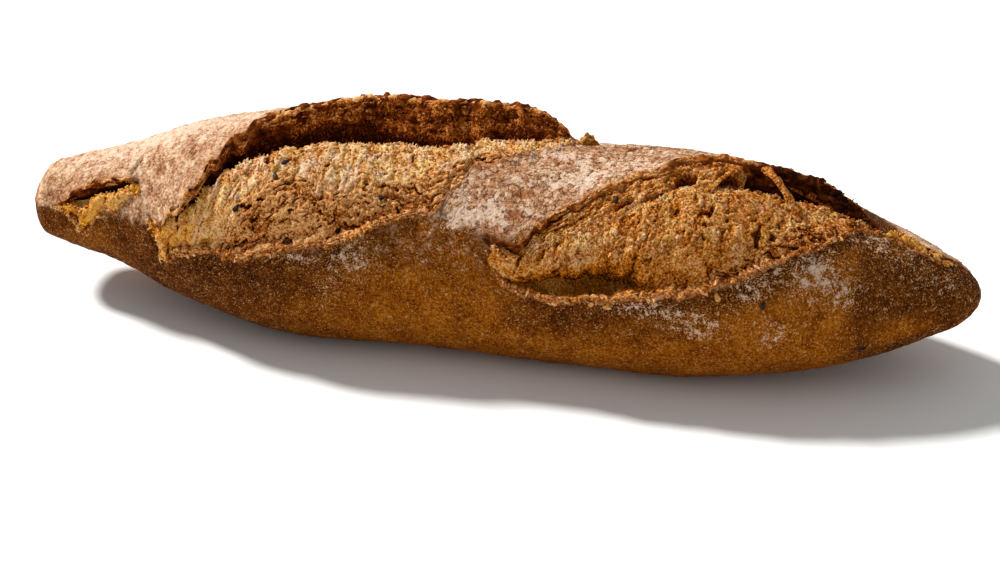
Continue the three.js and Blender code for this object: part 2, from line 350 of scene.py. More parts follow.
@dataclass
class Skin:
    """Places on the torn loaf's skin, and what the loaf is like there.

    Attributes:
        point: the places, in millimetres.
        angle: degrees from the top.
        across: millimetres across the tear from its upper lip, or 0 outside it.
        part: share of the way across the tear, or 0 outside it.
        crumb: how far the skin is bare crumb.
        ear: how far it is the inside of an ear.
        lip: how near it is to a torn lip.
        hollow: how deep it lies in a crevice or under an ear, which sets the painted shade there.
    """

    point: Array
    angle: Array
    across: Array
    part: Array
    crumb: Array
    ear: Array
    lip: Array
    hollow: Array


@dataclass(frozen=True)
class LoafForm:
    """The torn loaf's form, in millimetres and degrees.

    Attributes:
        half_length: half of the loaf's length.
        half_width: half of its width where it is fullest.
        crown: height of the top over the axis.
        keel: depth of the underside under the axis.
        squareness: how square the underside's corners are, where 2 is round.
        tip_round: how far from each tip the loaf rounds off.
        girth: how full the loaf is along its length.
        axis: height of the axis along its length.
        centring: how far the form is moved sideways, to lie in the middle of its own box.
        lump: height of the slow waves over the crust.
        dip: depth of the dip behind the nose.
        dip_at: where the dip lies, along and around the loaf.
        dip_reach: how far it reaches, along and around the loaf.
        crust: thickness of the torn crust.
        lip_reach: how far a lower lip's swelling reaches.
        ear_reach: how far behind the back lip the ear's back is drawn finely.
        ear_limit: the angle that the ear's back ends at where it would reach further.
        side: the angle where the back's side turns under.
        margin: how far below the front lip the crust is drawn finely, in degrees.
        torn_edge: how far from a lip its torn edge shows.
        dusk: how deep the painted shade under an ear counts, and the crevice depth where it is darkest.
        ragged: heights of the upper lips' ragged teeth, from coarse to fine.
        rag: lengths of those teeth.
        fray: how much more ragged the lower lips are.
        stray: how much further the lips' teeth go around the loaf than they rise.
        corners: where the torn profile turns, as shares of the way around it.
        tears: the scores that tore open.
        noise: what the teeth and the relief are drawn from.
    """

    half_length: float = 155
    half_width: float = 42
    crown: float = 36
    keel: float = 33
    squareness: float = 2.8
    tip_round: tuple[float, float] = (7, 10)
    girth: Course = (
        (-155, 0.28), (-140, 0.4), (-122, 0.53), (-104, 0.72), (-86, 0.85), (-62, 0.96), (-15, 0.9),
        (30, 0.92), (65, 0.94), (90, 0.84), (112, 0.69), (130, 0.5), (145, 0.3), (155, 0.2),
    )
    axis: Course = ((-155, 27), (-110, 30), (-60, 29), (0, 28.3), (110, 28), (155, 27))
    centring: float = -0.43
    lump: float = 0.9
    dip: float = 1.6
    dip_at: tuple[float, float] = (121, -25)
    dip_reach: tuple[float, float] = (13, 40)
    crust: float = 2.4
    lip_reach: float = 2.4
    ear_reach: float = 27
    ear_limit: float = -98
    side: float = -118
    margin: float = 16
    torn_edge: float = 1.6
    dusk: tuple[float, float] = (1.5, 4)
    ragged: tuple[float, ...] = (0.6, 0.4, 0.35)
    rag: tuple[float, ...] = (12, 4.3, 1.7)
    fray: float = 1.9
    stray: float = 1.8
    corners: tuple[float, ...] = (0, 0.024, 0.145, 0.29, 0.4, 0.48, 0.62, 0.75, 0.86, 0.93, 0.976, 1)
    tears: tuple[Tear, ...] = (TAIL_TEAR, LONG_TEAR, WIDE_TEAR, NOSE_TEAR)
    noise: Noise = field(default_factory=lambda: Noise(11))

    def size_at(self, x: Array) -> Array:
        """How full the loaf is, rounded off to 0 at its tips.

        Args:
            x: stations along the loaf.

        Returns:
            The share of the greatest section at each station.
        """
        left, right = self.tip_round
        inward = np.clip(np.minimum((self.half_length + x) / left, (self.half_length - x) / right), 0, 1)
        return course_at(self.girth, x) * np.sqrt(1 - np.square(1 - inward))

    def section(self, x: Array, angle: Array) -> Array:
        """The untorn loaf's skin.

        Args:
            x: stations along the loaf.
            angle: degrees from the top.

        Returns:
            The (y, z) of each place.
        """
        size = self.size_at(x)
        sine, cosine = np.sin(np.radians(angle)), np.cos(np.radians(angle))
        power = np.where(cosine < 0, 2 / self.squareness, 1)
        rise = np.where(cosine < 0, -self.keel * np.abs(cosine) ** power, self.crown * cosine)
        across = -self.half_width * np.sign(sine) * np.abs(sine) ** power
        return np.stack([size * across, course_at(self.axis, x) + size * rise], axis=-1)

    def outward(self, x: Array, angle: Array) -> Array:
        """The untorn loaf's outward normals around its sections.

        Args:
            x: stations along the loaf.
            angle: degrees from the top.

        Returns:
            The (y, z) of each normal.
        """
        along = self.section(x, angle + 0.6) - self.section(x, angle - 0.6)
        length = np.maximum(np.linalg.norm(along, axis=-1, keepdims=True), 1e-9)
        return np.stack([along[..., 1], -along[..., 0]], axis=-1) / length

    def per_degree(self, x: Array) -> Array:
        """Millimetres of skin to a degree."""
        return np.radians(np.maximum(self.size_at(x), 0.1) * 0.5 * (self.half_width + self.crown))

    def span_edges(self, x: Array) -> Array:
        """The angles where the spans begin and end.

        Args:
            x: stations along the loaf.

        Returns:
            The angles at each station, as (9, n).
        """
        back, bridge, over, front = (
            course_at(edge, x) + self.stray * self.jagged(x, 10 * i) / self.per_degree(x)
            for i, edge in enumerate((BACK_BAND.upper, BACK_BAND.lower, FRONT_BAND.upper, FRONT_BAND.lower))
        )
        level = np.ones_like(x)
        reach = np.maximum(back - self.ear_reach / self.per_degree(x), self.ear_limit)
        start, side, end = (angle * level for angle in (-180, self.side, 180))
        return np.stack([start, side, reach, back, bridge, over, front, front + self.margin, end])

    def jagged(self, x: Array, seed: float) -> Array:
        """The teeth of a torn edge.

        Args:
            x: stations along the loaf.
            seed: what makes this edge its own.

        Returns:
            Their height at each station, in millimetres.
        """
        own = np.full_like(x, seed + 0.37)
        return sum(
            tooth * self.noise.waves(np.stack([x / length, own, own], axis=-1))
            for tooth, length in zip(self.ragged, self.rag)
        )

    def lip(self, tear: Tear, x: Array, height: Course) -> Array:
        """The height of a tear's ragged upper or lower lip.

        Args:
            tear: the tear.
            x: stations along the loaf.
            height: the lip's smooth height.

        Returns:
            The lip's height at each station.
        """
        seed, fray = (tear.start + 5, self.fray) if height is tear.ridge else (tear.start, 1)
        return np.maximum(course_at(height, x) + fray * self.jagged(x, seed), 0)

    def torn(self, tear: Tear, x: Array, width: Array, share: Array) -> tuple[Array, Array]:
        """The torn section: down the ear's inside, over the crevice and the crumb, and up the lower lip.

        Args:
            tear: the tear.
            x: stations along the loaf.
            width: the tear's width there.
            share: how far around the profile, from the upper lip at 0 to the lower at 1.

        Returns:
            Millimetres across from the upper lip, and height over the untorn skin.
        """
        ear, ridge = self.lip(tear, x, tear.ear), self.lip(tear, x, tear.ridge)
        lean, gap, bulge, ledge = (course_at(of, x) for of in (tear.lean, tear.gap, tear.bulge, tear.ledge))
        crest = tear.crest * width
        root = np.minimum(self.crust, 0.11 * width)
        edge = 0.45 * root

        def down(part: float) -> Array:
            """A place between the crumb's crest and the lower lip."""
            return crest + (width - crest) * part

        across = np.stack([
            lean, lean + edge, 0.3 * lean + root, 0.35 * crest + root, root + 0.8 * (crest - root), crest,
            down(0.3), down(0.56), down(0.78), down(0.91), width - 0.5 * edge, width,
        ])
        height = np.stack([
            ear, ear - 0.5 * edge, 0.3 * ear, -gap, bulge - 0.45 * gap, bulge,
            1.1 * bulge - 0.05 * ledge, 0.8 * bulge - 0.26 * ledge, 0.2 * bulge - 0.6 * ledge, -ledge,
            0.7 * ridge, ridge,
        ])
        return tuple(curve_at(np.asarray(self.corners), rows, share) for rows in (across, height))

    def place(self, x: Array, span: Array, share: Array) -> Skin:
        """Finds places on the torn loaf.

        Args:
            x: stations along the loaf.
            span: the index of the span around the section.
            share: how far through the span, from 0 to 1.

        Returns:
            The places, with what the loaf is like there.
        """
        per_degree = self.per_degree(x)
        edges = self.span_edges(x)
        each = np.arange(len(x))
        angle = edges[span, each] + (edges[span + 1, each] - edges[span, each]) * share
        around, out, across, part, crumb, ear, lip, hollow = (np.zeros_like(x) for _ in range(8))
        root, crevice, foot, slope_end, lip_foot = (self.corners[i] for i in (2, 3, 4, 8, 10))
        ear_inside = 1 - step(share, crevice - 0.05, foot)
        dim, darkest = self.dusk
        for tear in self.tears:
            opened = tear.opening(x)
            upper, lower = edges[tear.span], edges[tear.span + 1]
            inside, above, below = (
                where & (opened > 0) for where in (span == tear.span, span < tear.span, span > tear.span)
            )
            up, down = (upper - angle) * per_degree, (angle - lower) * per_degree
            lift = np.where(above, opened * np.square(np.clip(1 - up / tear.reach, 0, 1)), 0)
            swell = np.where(below, opened * bell(down / self.lip_reach), 0)
            width = (lower - upper) * per_degree
            over, height = self.torn(tear, x, width, share)
            around += lift * course_at(tear.lean, x) / per_degree
            around += np.where(inside, opened * (over / per_degree - (angle - upper)), 0)
            out += lift * self.lip(tear, x, tear.ear) + swell * self.lip(tear, x, tear.ridge)
            out += np.where(inside, opened * height, 0)
            held = np.where(inside, opened, 0)
            across += np.where(inside, over, 0)
            part += np.where(inside, over / width, 0)
            crumb += held * step(share, root, foot) * (1 - step(share, slope_end, lip_foot))
            ear += held * ear_inside
            near = np.where(inside, np.minimum(over, np.abs(width - over)), np.where(above, up, down))
            lip += np.where(inside | above | below, opened**2 * bell(near / self.torn_edge), 0)
            # Shade is painted by depth, under each ear and in the crevice below it.
            hollow += held * np.clip((dim * ear_inside - height) / darkest, 0, 1)
        turned = angle + around
        bow = np.radians(turned)
        waves = 0.6 * np.sin(x / 19 + 1.7 * np.sin(bow)) + 0.4 * np.sin(x / 31 - 2 * bow + 0.8)
        out += self.lump * self.size_at(x) * waves
        dip_x, dip_angle = self.dip_at
        dip_along, dip_around = self.dip_reach
        out -= self.dip * bell((x - dip_x) / dip_along) * bell((turned - dip_angle) / dip_around)
        yz = self.section(x, turned) + out[:, None] * self.outward(x, turned)
        point = np.column_stack([x, yz[:, 0] + self.centring, np.maximum(yz[:, 1], 0)])
        return Skin(point, turned, across, part, crumb, ear, np.clip(lip, 0, 1), hollow)


def points_of(piece: bpy.types.Object, kind: str = "co") -> Array:
    """A piece's vertices in millimetres, or their normals.

    Args:
        piece: the piece.
        kind: "co" for places or "normal" for normals.

    Returns:
        The vertices' values, as (n, 3).
    """
    flat = np.empty(3 * len(piece.data.vertices), np.float32)
    piece.data.vertices.foreach_get(kind, flat)
    return flat.reshape(-1, 3).astype(float) * (1 / MM if kind == "co" else 1)


def move(piece: bpy.types.Object, points: Array) -> None:
    """Puts a piece's vertices at places in millimetres."""
    piece.data.vertices.foreach_set("co", (points * MM).astype(np.float32).ravel())
    piece.data.update()


def keep(piece: bpy.types.Object, **values: Array) -> None:
    """Stores values for each vertex, for the finishes to read.

    Args:
        piece: the piece.
        values: the vertices' values from 0 to 1, under their names.
    """
    for name, value in values.items():
        stored = piece.data.attributes.new(name, "FLOAT", "POINT")
        stored.data.foreach_set("value", np.clip(value, 0, 1).astype(np.float32))


def kept(piece: bpy.types.Object, name: str) -> Array:
    """Reads the values that a piece stores for each vertex.

    Args:
        piece: the piece.
        name: the values' name.

    Returns:
        The vertices' values, as (n,).
    """
    values = np.empty(len(piece.data.vertices), np.float32)
    piece.data.attributes[name].data.foreach_get("value", values)
    return values


def named(name: str) -> bpy.types.Object:
    """Names the piece that an operator has just made.

    Args:
        name: the piece's name.

    Returns:
        The piece.
    """
    piece = bpy.context.object
    piece.name = piece.data.name = name
    return piece


def joined(pieces: Sequence[bpy.types.Object], name: str) -> bpy.types.Object:
    """Joins pieces into one smooth piece.

    Args:
        pieces: the pieces.
        name: the joined piece's name.

    Returns:
        The joined piece.
    """
    bpy.ops.object.select_all(action="DESELECT")
    for piece in pieces:
        piece.select_set(True)
    bpy.context.view_layer.objects.active = pieces[0]
    bpy.ops.object.join()
    bpy.ops.object.shade_smooth()
    return named(name)


def linear(colour: str) -> tuple[float, float, float, float]:
    """Turns an sRGB hex colour to linear light."""
    parts = [int(colour[i : i + 2], 16) / 255 for i in (1, 3, 5)]
    return (*(p / 12.92 if p <= 0.04045 else ((p + 0.055) / 1.055) ** 2.4 for p in parts), 1.0)


def material_on(piece: bpy.types.Object, name: str) -> tuple[bpy.types.NodeTree, bpy.types.Node]:
    """Gives a piece a new material.

    Args:
        piece: the piece.
        name: the material's name.

    Returns:
        The material's nodes, and its shader.
    """
    material = bpy.data.materials.new(name)
    material.use_nodes = True
    piece.data.materials.append(material)
    return material.node_tree, material.node_tree.nodes["Principled BSDF"]


def per_metre(millimetres: float) -> float:
    """The scale that gives a pattern a size in millimetres on Object coordinates."""
    return 1 / (millimetres * MM)


def add(
    tree: bpy.types.NodeTree,
    kind: str,
    inputs: dict[str | int, object] | None = None,
    out: str | int = 0,
    stops: Ramp = (),
    **settings: object,
) -> bpy.types.NodeSocket:
    """Adds a node with its settings and links.

    Args:
        tree: the material's nodes.
        kind: the node's type, without its prefix.
        inputs: a value or a socket to link, for each input by name or index.
        out: the output to give back.
        stops: a colour ramp's places and sRGB colours.
        settings: the node's own settings.

    Returns:
        One of the node's outputs.
    """
    node = tree.nodes.new("ShaderNode" + kind)
    for name, value in settings.items():
        setattr(node, name, value)
    for key, value in (inputs or {}).items():
        if isinstance(value, bpy.types.NodeSocket):
            tree.links.new(value, node.inputs[key])
        else:
            node.inputs[key].default_value = value
    for i, (place, colour) in enumerate(stops):
        elements = node.color_ramp.elements
        stop = elements[i] if i < len(elements) else elements.new(place)
        stop.position, stop.color = place, linear(colour)
    return node.outputs[out]


@dataclass(frozen=True)
class FlouredCrust:
    """Baked wheat crust dusted with flour: matte and browned, mottled, and speckled with pale bran and flour.

    Attributes:
        speck: size of the bran specks, drawn coarser than milled bran so that they show.
        grain: size of the crust's grain.
        mottle: size of the darker and lighter browned patches.
        clump: size of the clumps that loose flour lies in.
        streak: size of the stretch marks across the floured top.
        crackle: size of the plates that the floured top cracks into.
        fleck: size of the toasted flecks on the torn edges.
        char: size of the charred patches on the ears' insides, which are drawn out along the loaf.
        cast: size of the scorched patches on the floured top.
        slant: angle of the stretch marks, in degrees.
        dark: colours of the browned front near the tears.
        warm: colours of the browned front below them.
        floured: colours of the floured top.
        edge: colours of the torn edges.
        shady: colours of the ears' insides.
        glowing: colours of the ears' insides where they are baked lighter, and where light is painted on them
            near the tail.
        bare: colours of the bare crumb in the tears' floors.
        bran: colour of the bran specks.
        scorch: colour of the scorched patches.
        split: colour in the cracks between the plates.
        powder: colour of loose flour.
        depth: colour of the painted shade deep in the crevices, in the crack and under the ears.
    """

    speck: float = 0.5
    grain: float = 0.9
    mottle: float = 8
    clump: float = 2.0
    streak: float = 2.0
    crackle: float = 2.6
    fleck: float = 1.4
    char: float = 2.6
    cast: float = 6
    slant: float = 52
    dark: Ramp = (
        (0.34, "#180600"), (0.44, "#3e1800"), (0.53, "#5b2a02"), (0.61, "#7c4514"), (0.7, "#a56e3a"),
    )
    warm: Ramp = (
        (0.34, "#421900"), (0.44, "#763700"), (0.53, "#975204"), (0.61, "#b26d17"), (0.7, "#cc9240"),
    )
    floured: Ramp = (
        (0.34, "#7a4528"), (0.43, "#a06f4c"), (0.51, "#bd8f6a"), (0.6, "#d8b08c"), (0.72, "#efd6ba"),
    )
    edge: Ramp = ((0.32, "#5a2205"), (0.45, "#94501f"), (0.56, "#bd7d48"), (0.68, "#e2b68c"))
    shady: Ramp = (
        (0.34, "#0c0200"), (0.44, "#481802"), (0.53, "#743206"), (0.61, "#a05418"), (0.7, "#cb8c4c"),
    )
    glowing: Ramp = ((0.34, "#3a1202"), (0.44, "#7e3c0e"), (0.54, "#ac6026"), (0.66, "#d6985c"))
    bare: Ramp = ((0.32, "#2a0e02"), (0.52, "#663510"), (0.7, "#a67038"))
    bran: str = "#c8955c"
    scorch: str = "#a8622e"
    split: str = "#5c2d16"
    powder: str = "#e8c9b0"
    depth: str = "#150700"

    def dress(self, piece: bpy.types.Object) -> None:
        """Gives a piece this finish.

        Args:
            piece: the piece.
        """
        tree, shader = material_on(piece, "floured baked wheat crust")
        place = add(tree, "TexCoord", out="Object")
        crumb, ear, lip, hollow, pale, flour, bake, crackle = (
            add(tree, "Attribute", attribute_name=name, out="Fac")
            for name in ("crumb", "ear", "lip", "hollow", "pale", "flour", "bake", "crackle")
        )
        turn = (0, 0, math.radians(self.slant))
        slant = add(tree, "Mapping", {"Vector": place, "Rotation": turn, "Scale": (1, 0.3, 1)})
        drawn = add(tree, "Mapping", {"Vector": place, "Scale": (0.5, 1, 1)})
        mottle, speck, grain, clump, fleck, streak, char, cast = (
            add(
                tree, "TexNoise",
                {"Vector": at, "Scale": per_metre(size), "Detail": detail, "Roughness": uneven},
            )
            for at, size, detail, uneven in (
                (place, self.mottle, 4, 0.6),
                (place, self.speck, 2, 0.6),
                (place, self.grain, 4, 0.75),
                (place, self.clump, 5, 0.71),
                (place, self.fleck, 5, 0.75),
                (slant, self.streak, 5, 0.7),
                (drawn, self.char, 6, 0.72),
                (place, self.cast, 4, 0.65),
            )
        )

        # Loose flour lies in clumps, and thins out to single specks.
        heaped = add(
            tree, "MapRange",
            {"Value": clump, "From Min": 0.3, "From Max": 0.7, "To Min": -0.8, "To Max": 0.8},
        )
        settled = add(tree, "MapRange", {"Value": cast, "From Min": 0.47, "From Max": 0.38, "To Max": 0.85})
        # The flour mask also carries painted light on the tail's top, which comes out here as paler, whiter
        # crust.
        dusted = add(tree, "Math", {0: settled, 1: crackle, 2: flour}, operation="MULTIPLY_ADD")
        lies = add(tree, "Math", {0: dusted, 1: heaped}, operation="ADD")
        white = add(tree, "MapRange", {"Value": lies, "From Min": 0.52, "From Max": 1.12})

        # The front is browned dark near the tears and warmer below them.
        patchy = add(tree, "Math", {0: mottle, 1: 0.3, 2: -0.025}, operation="MULTIPLY_ADD")
        tone = add(tree, "Math", {0: grain, 1: 0.75, 2: patchy}, operation="MULTIPLY_ADD")
        dark, warm = (add(tree, "ValToRGB", {"Fac": tone}, stops=stops) for stops in (self.dark, self.warm))
        front = add(tree, "Mix", {0: bake, 6: dark, 7: warm}, out=2, data_type="RGBA")

        # Bran shows as pale pinpoints, more of them where some flour lies.
        strewn = add(tree, "Math", {0: flour, 1: 0.16, 2: speck}, operation="MULTIPLY_ADD")
        dotted = add(tree, "Math", {0: clump, 1: 0.35, 2: strewn}, operation="MULTIPLY_ADD")
        dots = add(tree, "MapRange", {"Value": dotted, "From Min": 0.79, "From Max": 0.86, "To Max": 0.85})
        speckled = add(tree, "Mix", {0: dots, 6: front, 7: linear(self.bran)}, out=2, data_type="RGBA")

        # The floured top is pale and pinkish, with stretch marks, and cracked into small plates.
        marked = add(tree, "Math", {0: streak, 1: 0.64, 2: -0.32}, operation="MULTIPLY_ADD")
        faint = add(tree, "Math", {0: grain, 1: 0.92, 2: -0.16}, operation="MULTIPLY_ADD")
        veiled = add(tree, "Math", {0: faint, 1: marked}, operation="ADD")
        patched = add(tree, "Math", {0: patchy, 1: 1.6, 2: veiled}, operation="MULTIPLY_ADD")
        dusty = add(tree, "Math", {0: flour, 1: 0.08, 2: patched}, operation="MULTIPLY_ADD")
        floured = add(tree, "ValToRGB", {"Fac": dusty}, stops=self.floured)
        scorched = add(tree, "MapRange", {"Value": cast, "From Min": 0.52, "From Max": 0.66, "To Max": 0.75})
        spread = add(tree, "Math", {0: crackle, 1: 0.85, 2: 0.1}, operation="MULTIPLY_ADD")
        singed = add(tree, "Math", {0: scorched, 1: spread}, operation="MULTIPLY")
        tanned = add(tree, "Mix", {0: singed, 6: floured, 7: linear(self.scorch)}, out=2, data_type="RGBA")
        swirl = per_metre(0.7 * self.crackle)
        stirred = add(tree, "TexNoise", {"Vector": place, "Scale": swirl, "Detail": 3}, out="Color")
        warped = add(tree, "VectorMath", {0: stirred, 1: (2.4 * MM,) * 3, 2: place}, operation="MULTIPLY_ADD")
        plates = add(
            tree, "TexVoronoi", {"Vector": warped, "Scale": per_metre(self.crackle)}, out="Distance",
            feature="DISTANCE_TO_EDGE",
        )
        line = add(tree, "MapRange", {"Value": plates, "From Max": 0.12, "To Min": 1, "To Max": 0})
        broken = add(tree, "MapRange", {"Value": clump, "From Min": 0.59, "From Max": 0.45})
        parted = add(tree, "Math", {0: line, 1: broken}, operation="MULTIPLY")
        crack = add(tree, "Math", {0: parted, 1: crackle}, operation="MULTIPLY")
        cracked = add(tree, "Mix", {0: crack, 6: tanned, 7: linear(self.split)}, out=2, data_type="RGBA")

        # Torn edges are toasted. The ears' insides are dark brown, with the glowing colours where they are
        # baked lighter and where light is painted on them; their near-black roots are painted shade, laid on
        # below.
        edge, bare = (add(tree, "ValToRGB", {"Fac": fleck}, stops=stops) for stops in (self.edge, self.bare))
        shady, glowing = (
            add(tree, "ValToRGB", {"Fac": char}, stops=stops) for stops in (self.shady, self.glowing)
        )
        inside = add(tree, "Mix", {0: bake, 6: shady, 7: glowing}, out=2, data_type="RGBA")

        # Each layer of colour lies over the one before.
        # The last is painted shade, darkest deep in the crevices, the crack and under the ears.
        thick = add(tree, "MapRange", {"Value": white, "From Min": 0.1, "To Max": 0.8})
        colour = speckled
        for amount, layer in (
            (pale, cracked), (thick, linear(self.powder)), (lip, edge), (crumb, bare), (ear, inside),
            (hollow, linear(self.depth)),
        ):
            colour = add(tree, "Mix", {0: amount, 6: colour, 7: layer}, out=2, data_type="RGBA")
        tree.links.new(colour, shader.inputs["Base Color"])

        # Flour is the most matte, and the grain, the stretch marks and the cracks stand in relief.
        rough = add(tree, "MapRange", {"Value": white, "To Min": 0.75, "To Max": 0.95})
        tree.links.new(rough, shader.inputs["Roughness"])
        shader.inputs["Specular IOR Level"].default_value = 0.03
        fine = add(tree, "Bump", {"Height": grain, "Strength": 0.75, "Distance": 0.5 * MM})
        scaly = add(tree, "Bump", {"Height": streak, "Strength": 0.8, "Distance": 1.1 * MM, "Normal": fine})
        etched = add(tree, "Math", {0: crack, 1: pale}, operation="MULTIPLY")
        plated = add(
            tree, "Bump",
            {"Height": etched, "Strength": 0.6, "Distance": 0.4 * MM, "Normal": scaly},
            invert=True,
        )
        tree.links.new(plated, shader.inputs["Normal"])


@dataclass(frozen=True)
class TornCrumb:
    """Torn wheat crumb: open, sandy, golden, toasted on its shreds; painted highlights on crests, painted
    shade in pores.

    Attributes:
        sand: size of the crumb's grains, drawn coarser than starch so that they show.
        patch: size of the more toasted patches.
        cast: size of the patches that lean to yellow or to pink.
        yellow: colours of the crumb that leans to yellow.
        pink: colours of the crumb that leans to pink.
        toasted: colours of the toasted crumb.
        moist: colours of the crumb that was stretched thin and shines golden.
        crust: colours of the strips of crust that are left on the crumb.
    """

    sand: float = 0.65
    patch: float = 5
    cast: float = 7
    yellow: Ramp = ((0, "#3f1c02"), (0.2, "#8d530a"), (0.45, "#c58a30"), (0.7, "#e7b768"), (0.95, "#fae0ac"))
    pink: Ramp = ((0, "#411a06"), (0.2, "#8e4d1e"), (0.45, "#c28048"), (0.7, "#e1ac7a"), (0.95, "#f7d9b8"))
    toasted: Ramp = (
        (0, "#371301"), (0.22, "#8a4006"), (0.48, "#b9681a"), (0.72, "#da9548"), (0.95, "#f2c48a"),
    )
    moist: Ramp = ((0, "#2b1302"), (0.25, "#7e3e02"), (0.5, "#be6804"), (0.8, "#dc8a14"), (1, "#e9ac40"))
    crust: Ramp = (
        (0.05, "#260b01"), (0.28, "#5c2605"), (0.48, "#95490f"), (0.68, "#cd7628"), (0.95, "#ecb474"),
    )

    def dress(self, piece: bpy.types.Object) -> None:
        """Gives a piece this finish.

        Args:
            piece: the piece.
        """
        tree, shader = material_on(piece, "torn toasted wheat crumb")
        place = add(tree, "TexCoord", out="Object")
        height, toast, strip, damp = (
            add(tree, "Attribute", attribute_name=name, out="Fac")
            for name in ("height", "toast", "strip", "damp")
        )
        sand, patch, cast = (
            add(
                tree, "TexNoise",
                {"Vector": place, "Scale": per_metre(size), "Detail": 4, "Roughness": uneven},
            )
            for size, uneven in ((self.sand, 0.75), (self.patch, 0.65), (self.cast, 0.65))
        )
        # The stored height is the crumb's tone: painted highlights on crests and painted shade in pits and
        # crevices.
        gritty = add(tree, "Math", {0: sand, 1: 3, 2: -1.5}, operation="MULTIPLY_ADD")
        tone = add(tree, "Math", {0: height, 1: gritty}, operation="ADD")
        yellow, pink, toasted, moist, crust = (
            add(tree, "ValToRGB", {"Fac": tone}, stops=stops)
            for stops in (self.yellow, self.pink, self.toasted, self.moist, self.crust)
        )

        # Some patches lean to yellow and some to pink, and some are browned, damp or still crusty.
        lean = add(tree, "MapRange", {"Value": cast, "From Min": 0.44, "From Max": 0.56})
        spread = add(
            tree, "MapRange",
            {"Value": patch, "From Min": 0.4, "From Max": 0.6, "To Min": -0.6, "To Max": 0.6},
        )
        browning = add(tree, "Math", {0: toast, 1: spread}, operation="ADD", use_clamp=True)
        colour = yellow
        for amount, layer in ((lean, pink), (browning, toasted), (damp, moist), (strip, crust)):
            colour = add(tree, "Mix", {0: amount, 6: colour, 7: layer}, out=2, data_type="RGBA")
        tree.links.new(colour, shader.inputs["Base Color"])
        shader.inputs["Roughness"].default_value = 0.9
        shader.inputs["Specular IOR Level"].default_value = 0.03
        bump = add(tree, "Bump", {"Height": sand, "Strength": 0.8, "Distance": 0.6 * MM})
        tree.links.new(bump, shader.inputs["Normal"])


class Finish(Protocol):
    """What a piece is dressed in."""

    def dress(self, piece: bpy.types.Object) -> None:
        """Gives a piece this finish."""


class Piece:
    """A piece of the loaf, which goes into the frame in its own finish."""

    finish: Finish

    def dress(self, piece: bpy.types.Object) -> None:
        """Finishes the piece and puts it in the frame.

        Args:
            piece: the piece.
        """
        self.finish.dress(piece)
        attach(piece, BODY)


@dataclass(frozen=True)
class Patch:
    """A soft-edged patch of the crust: where flour lies thick, where the crust is baked warmer, and where
    light is painted.

    Attributes:
        x: its middle along the loaf.
        angle: its middle around the loaf.
        along: its reach along the loaf.
        around: its reach around the loaf, in degrees.
        amount: how strong it is in its middle, where about 1 is full.
    """

    x: float
    angle: float
    along: float
    around: float
    amount: float

    def at(self, x: Array, angle: Array) -> Array:
        """How strong the patch is at each place."""
        return self.amount * bell((x - self.x) / self.along) * bell((angle - self.angle) / self.around)


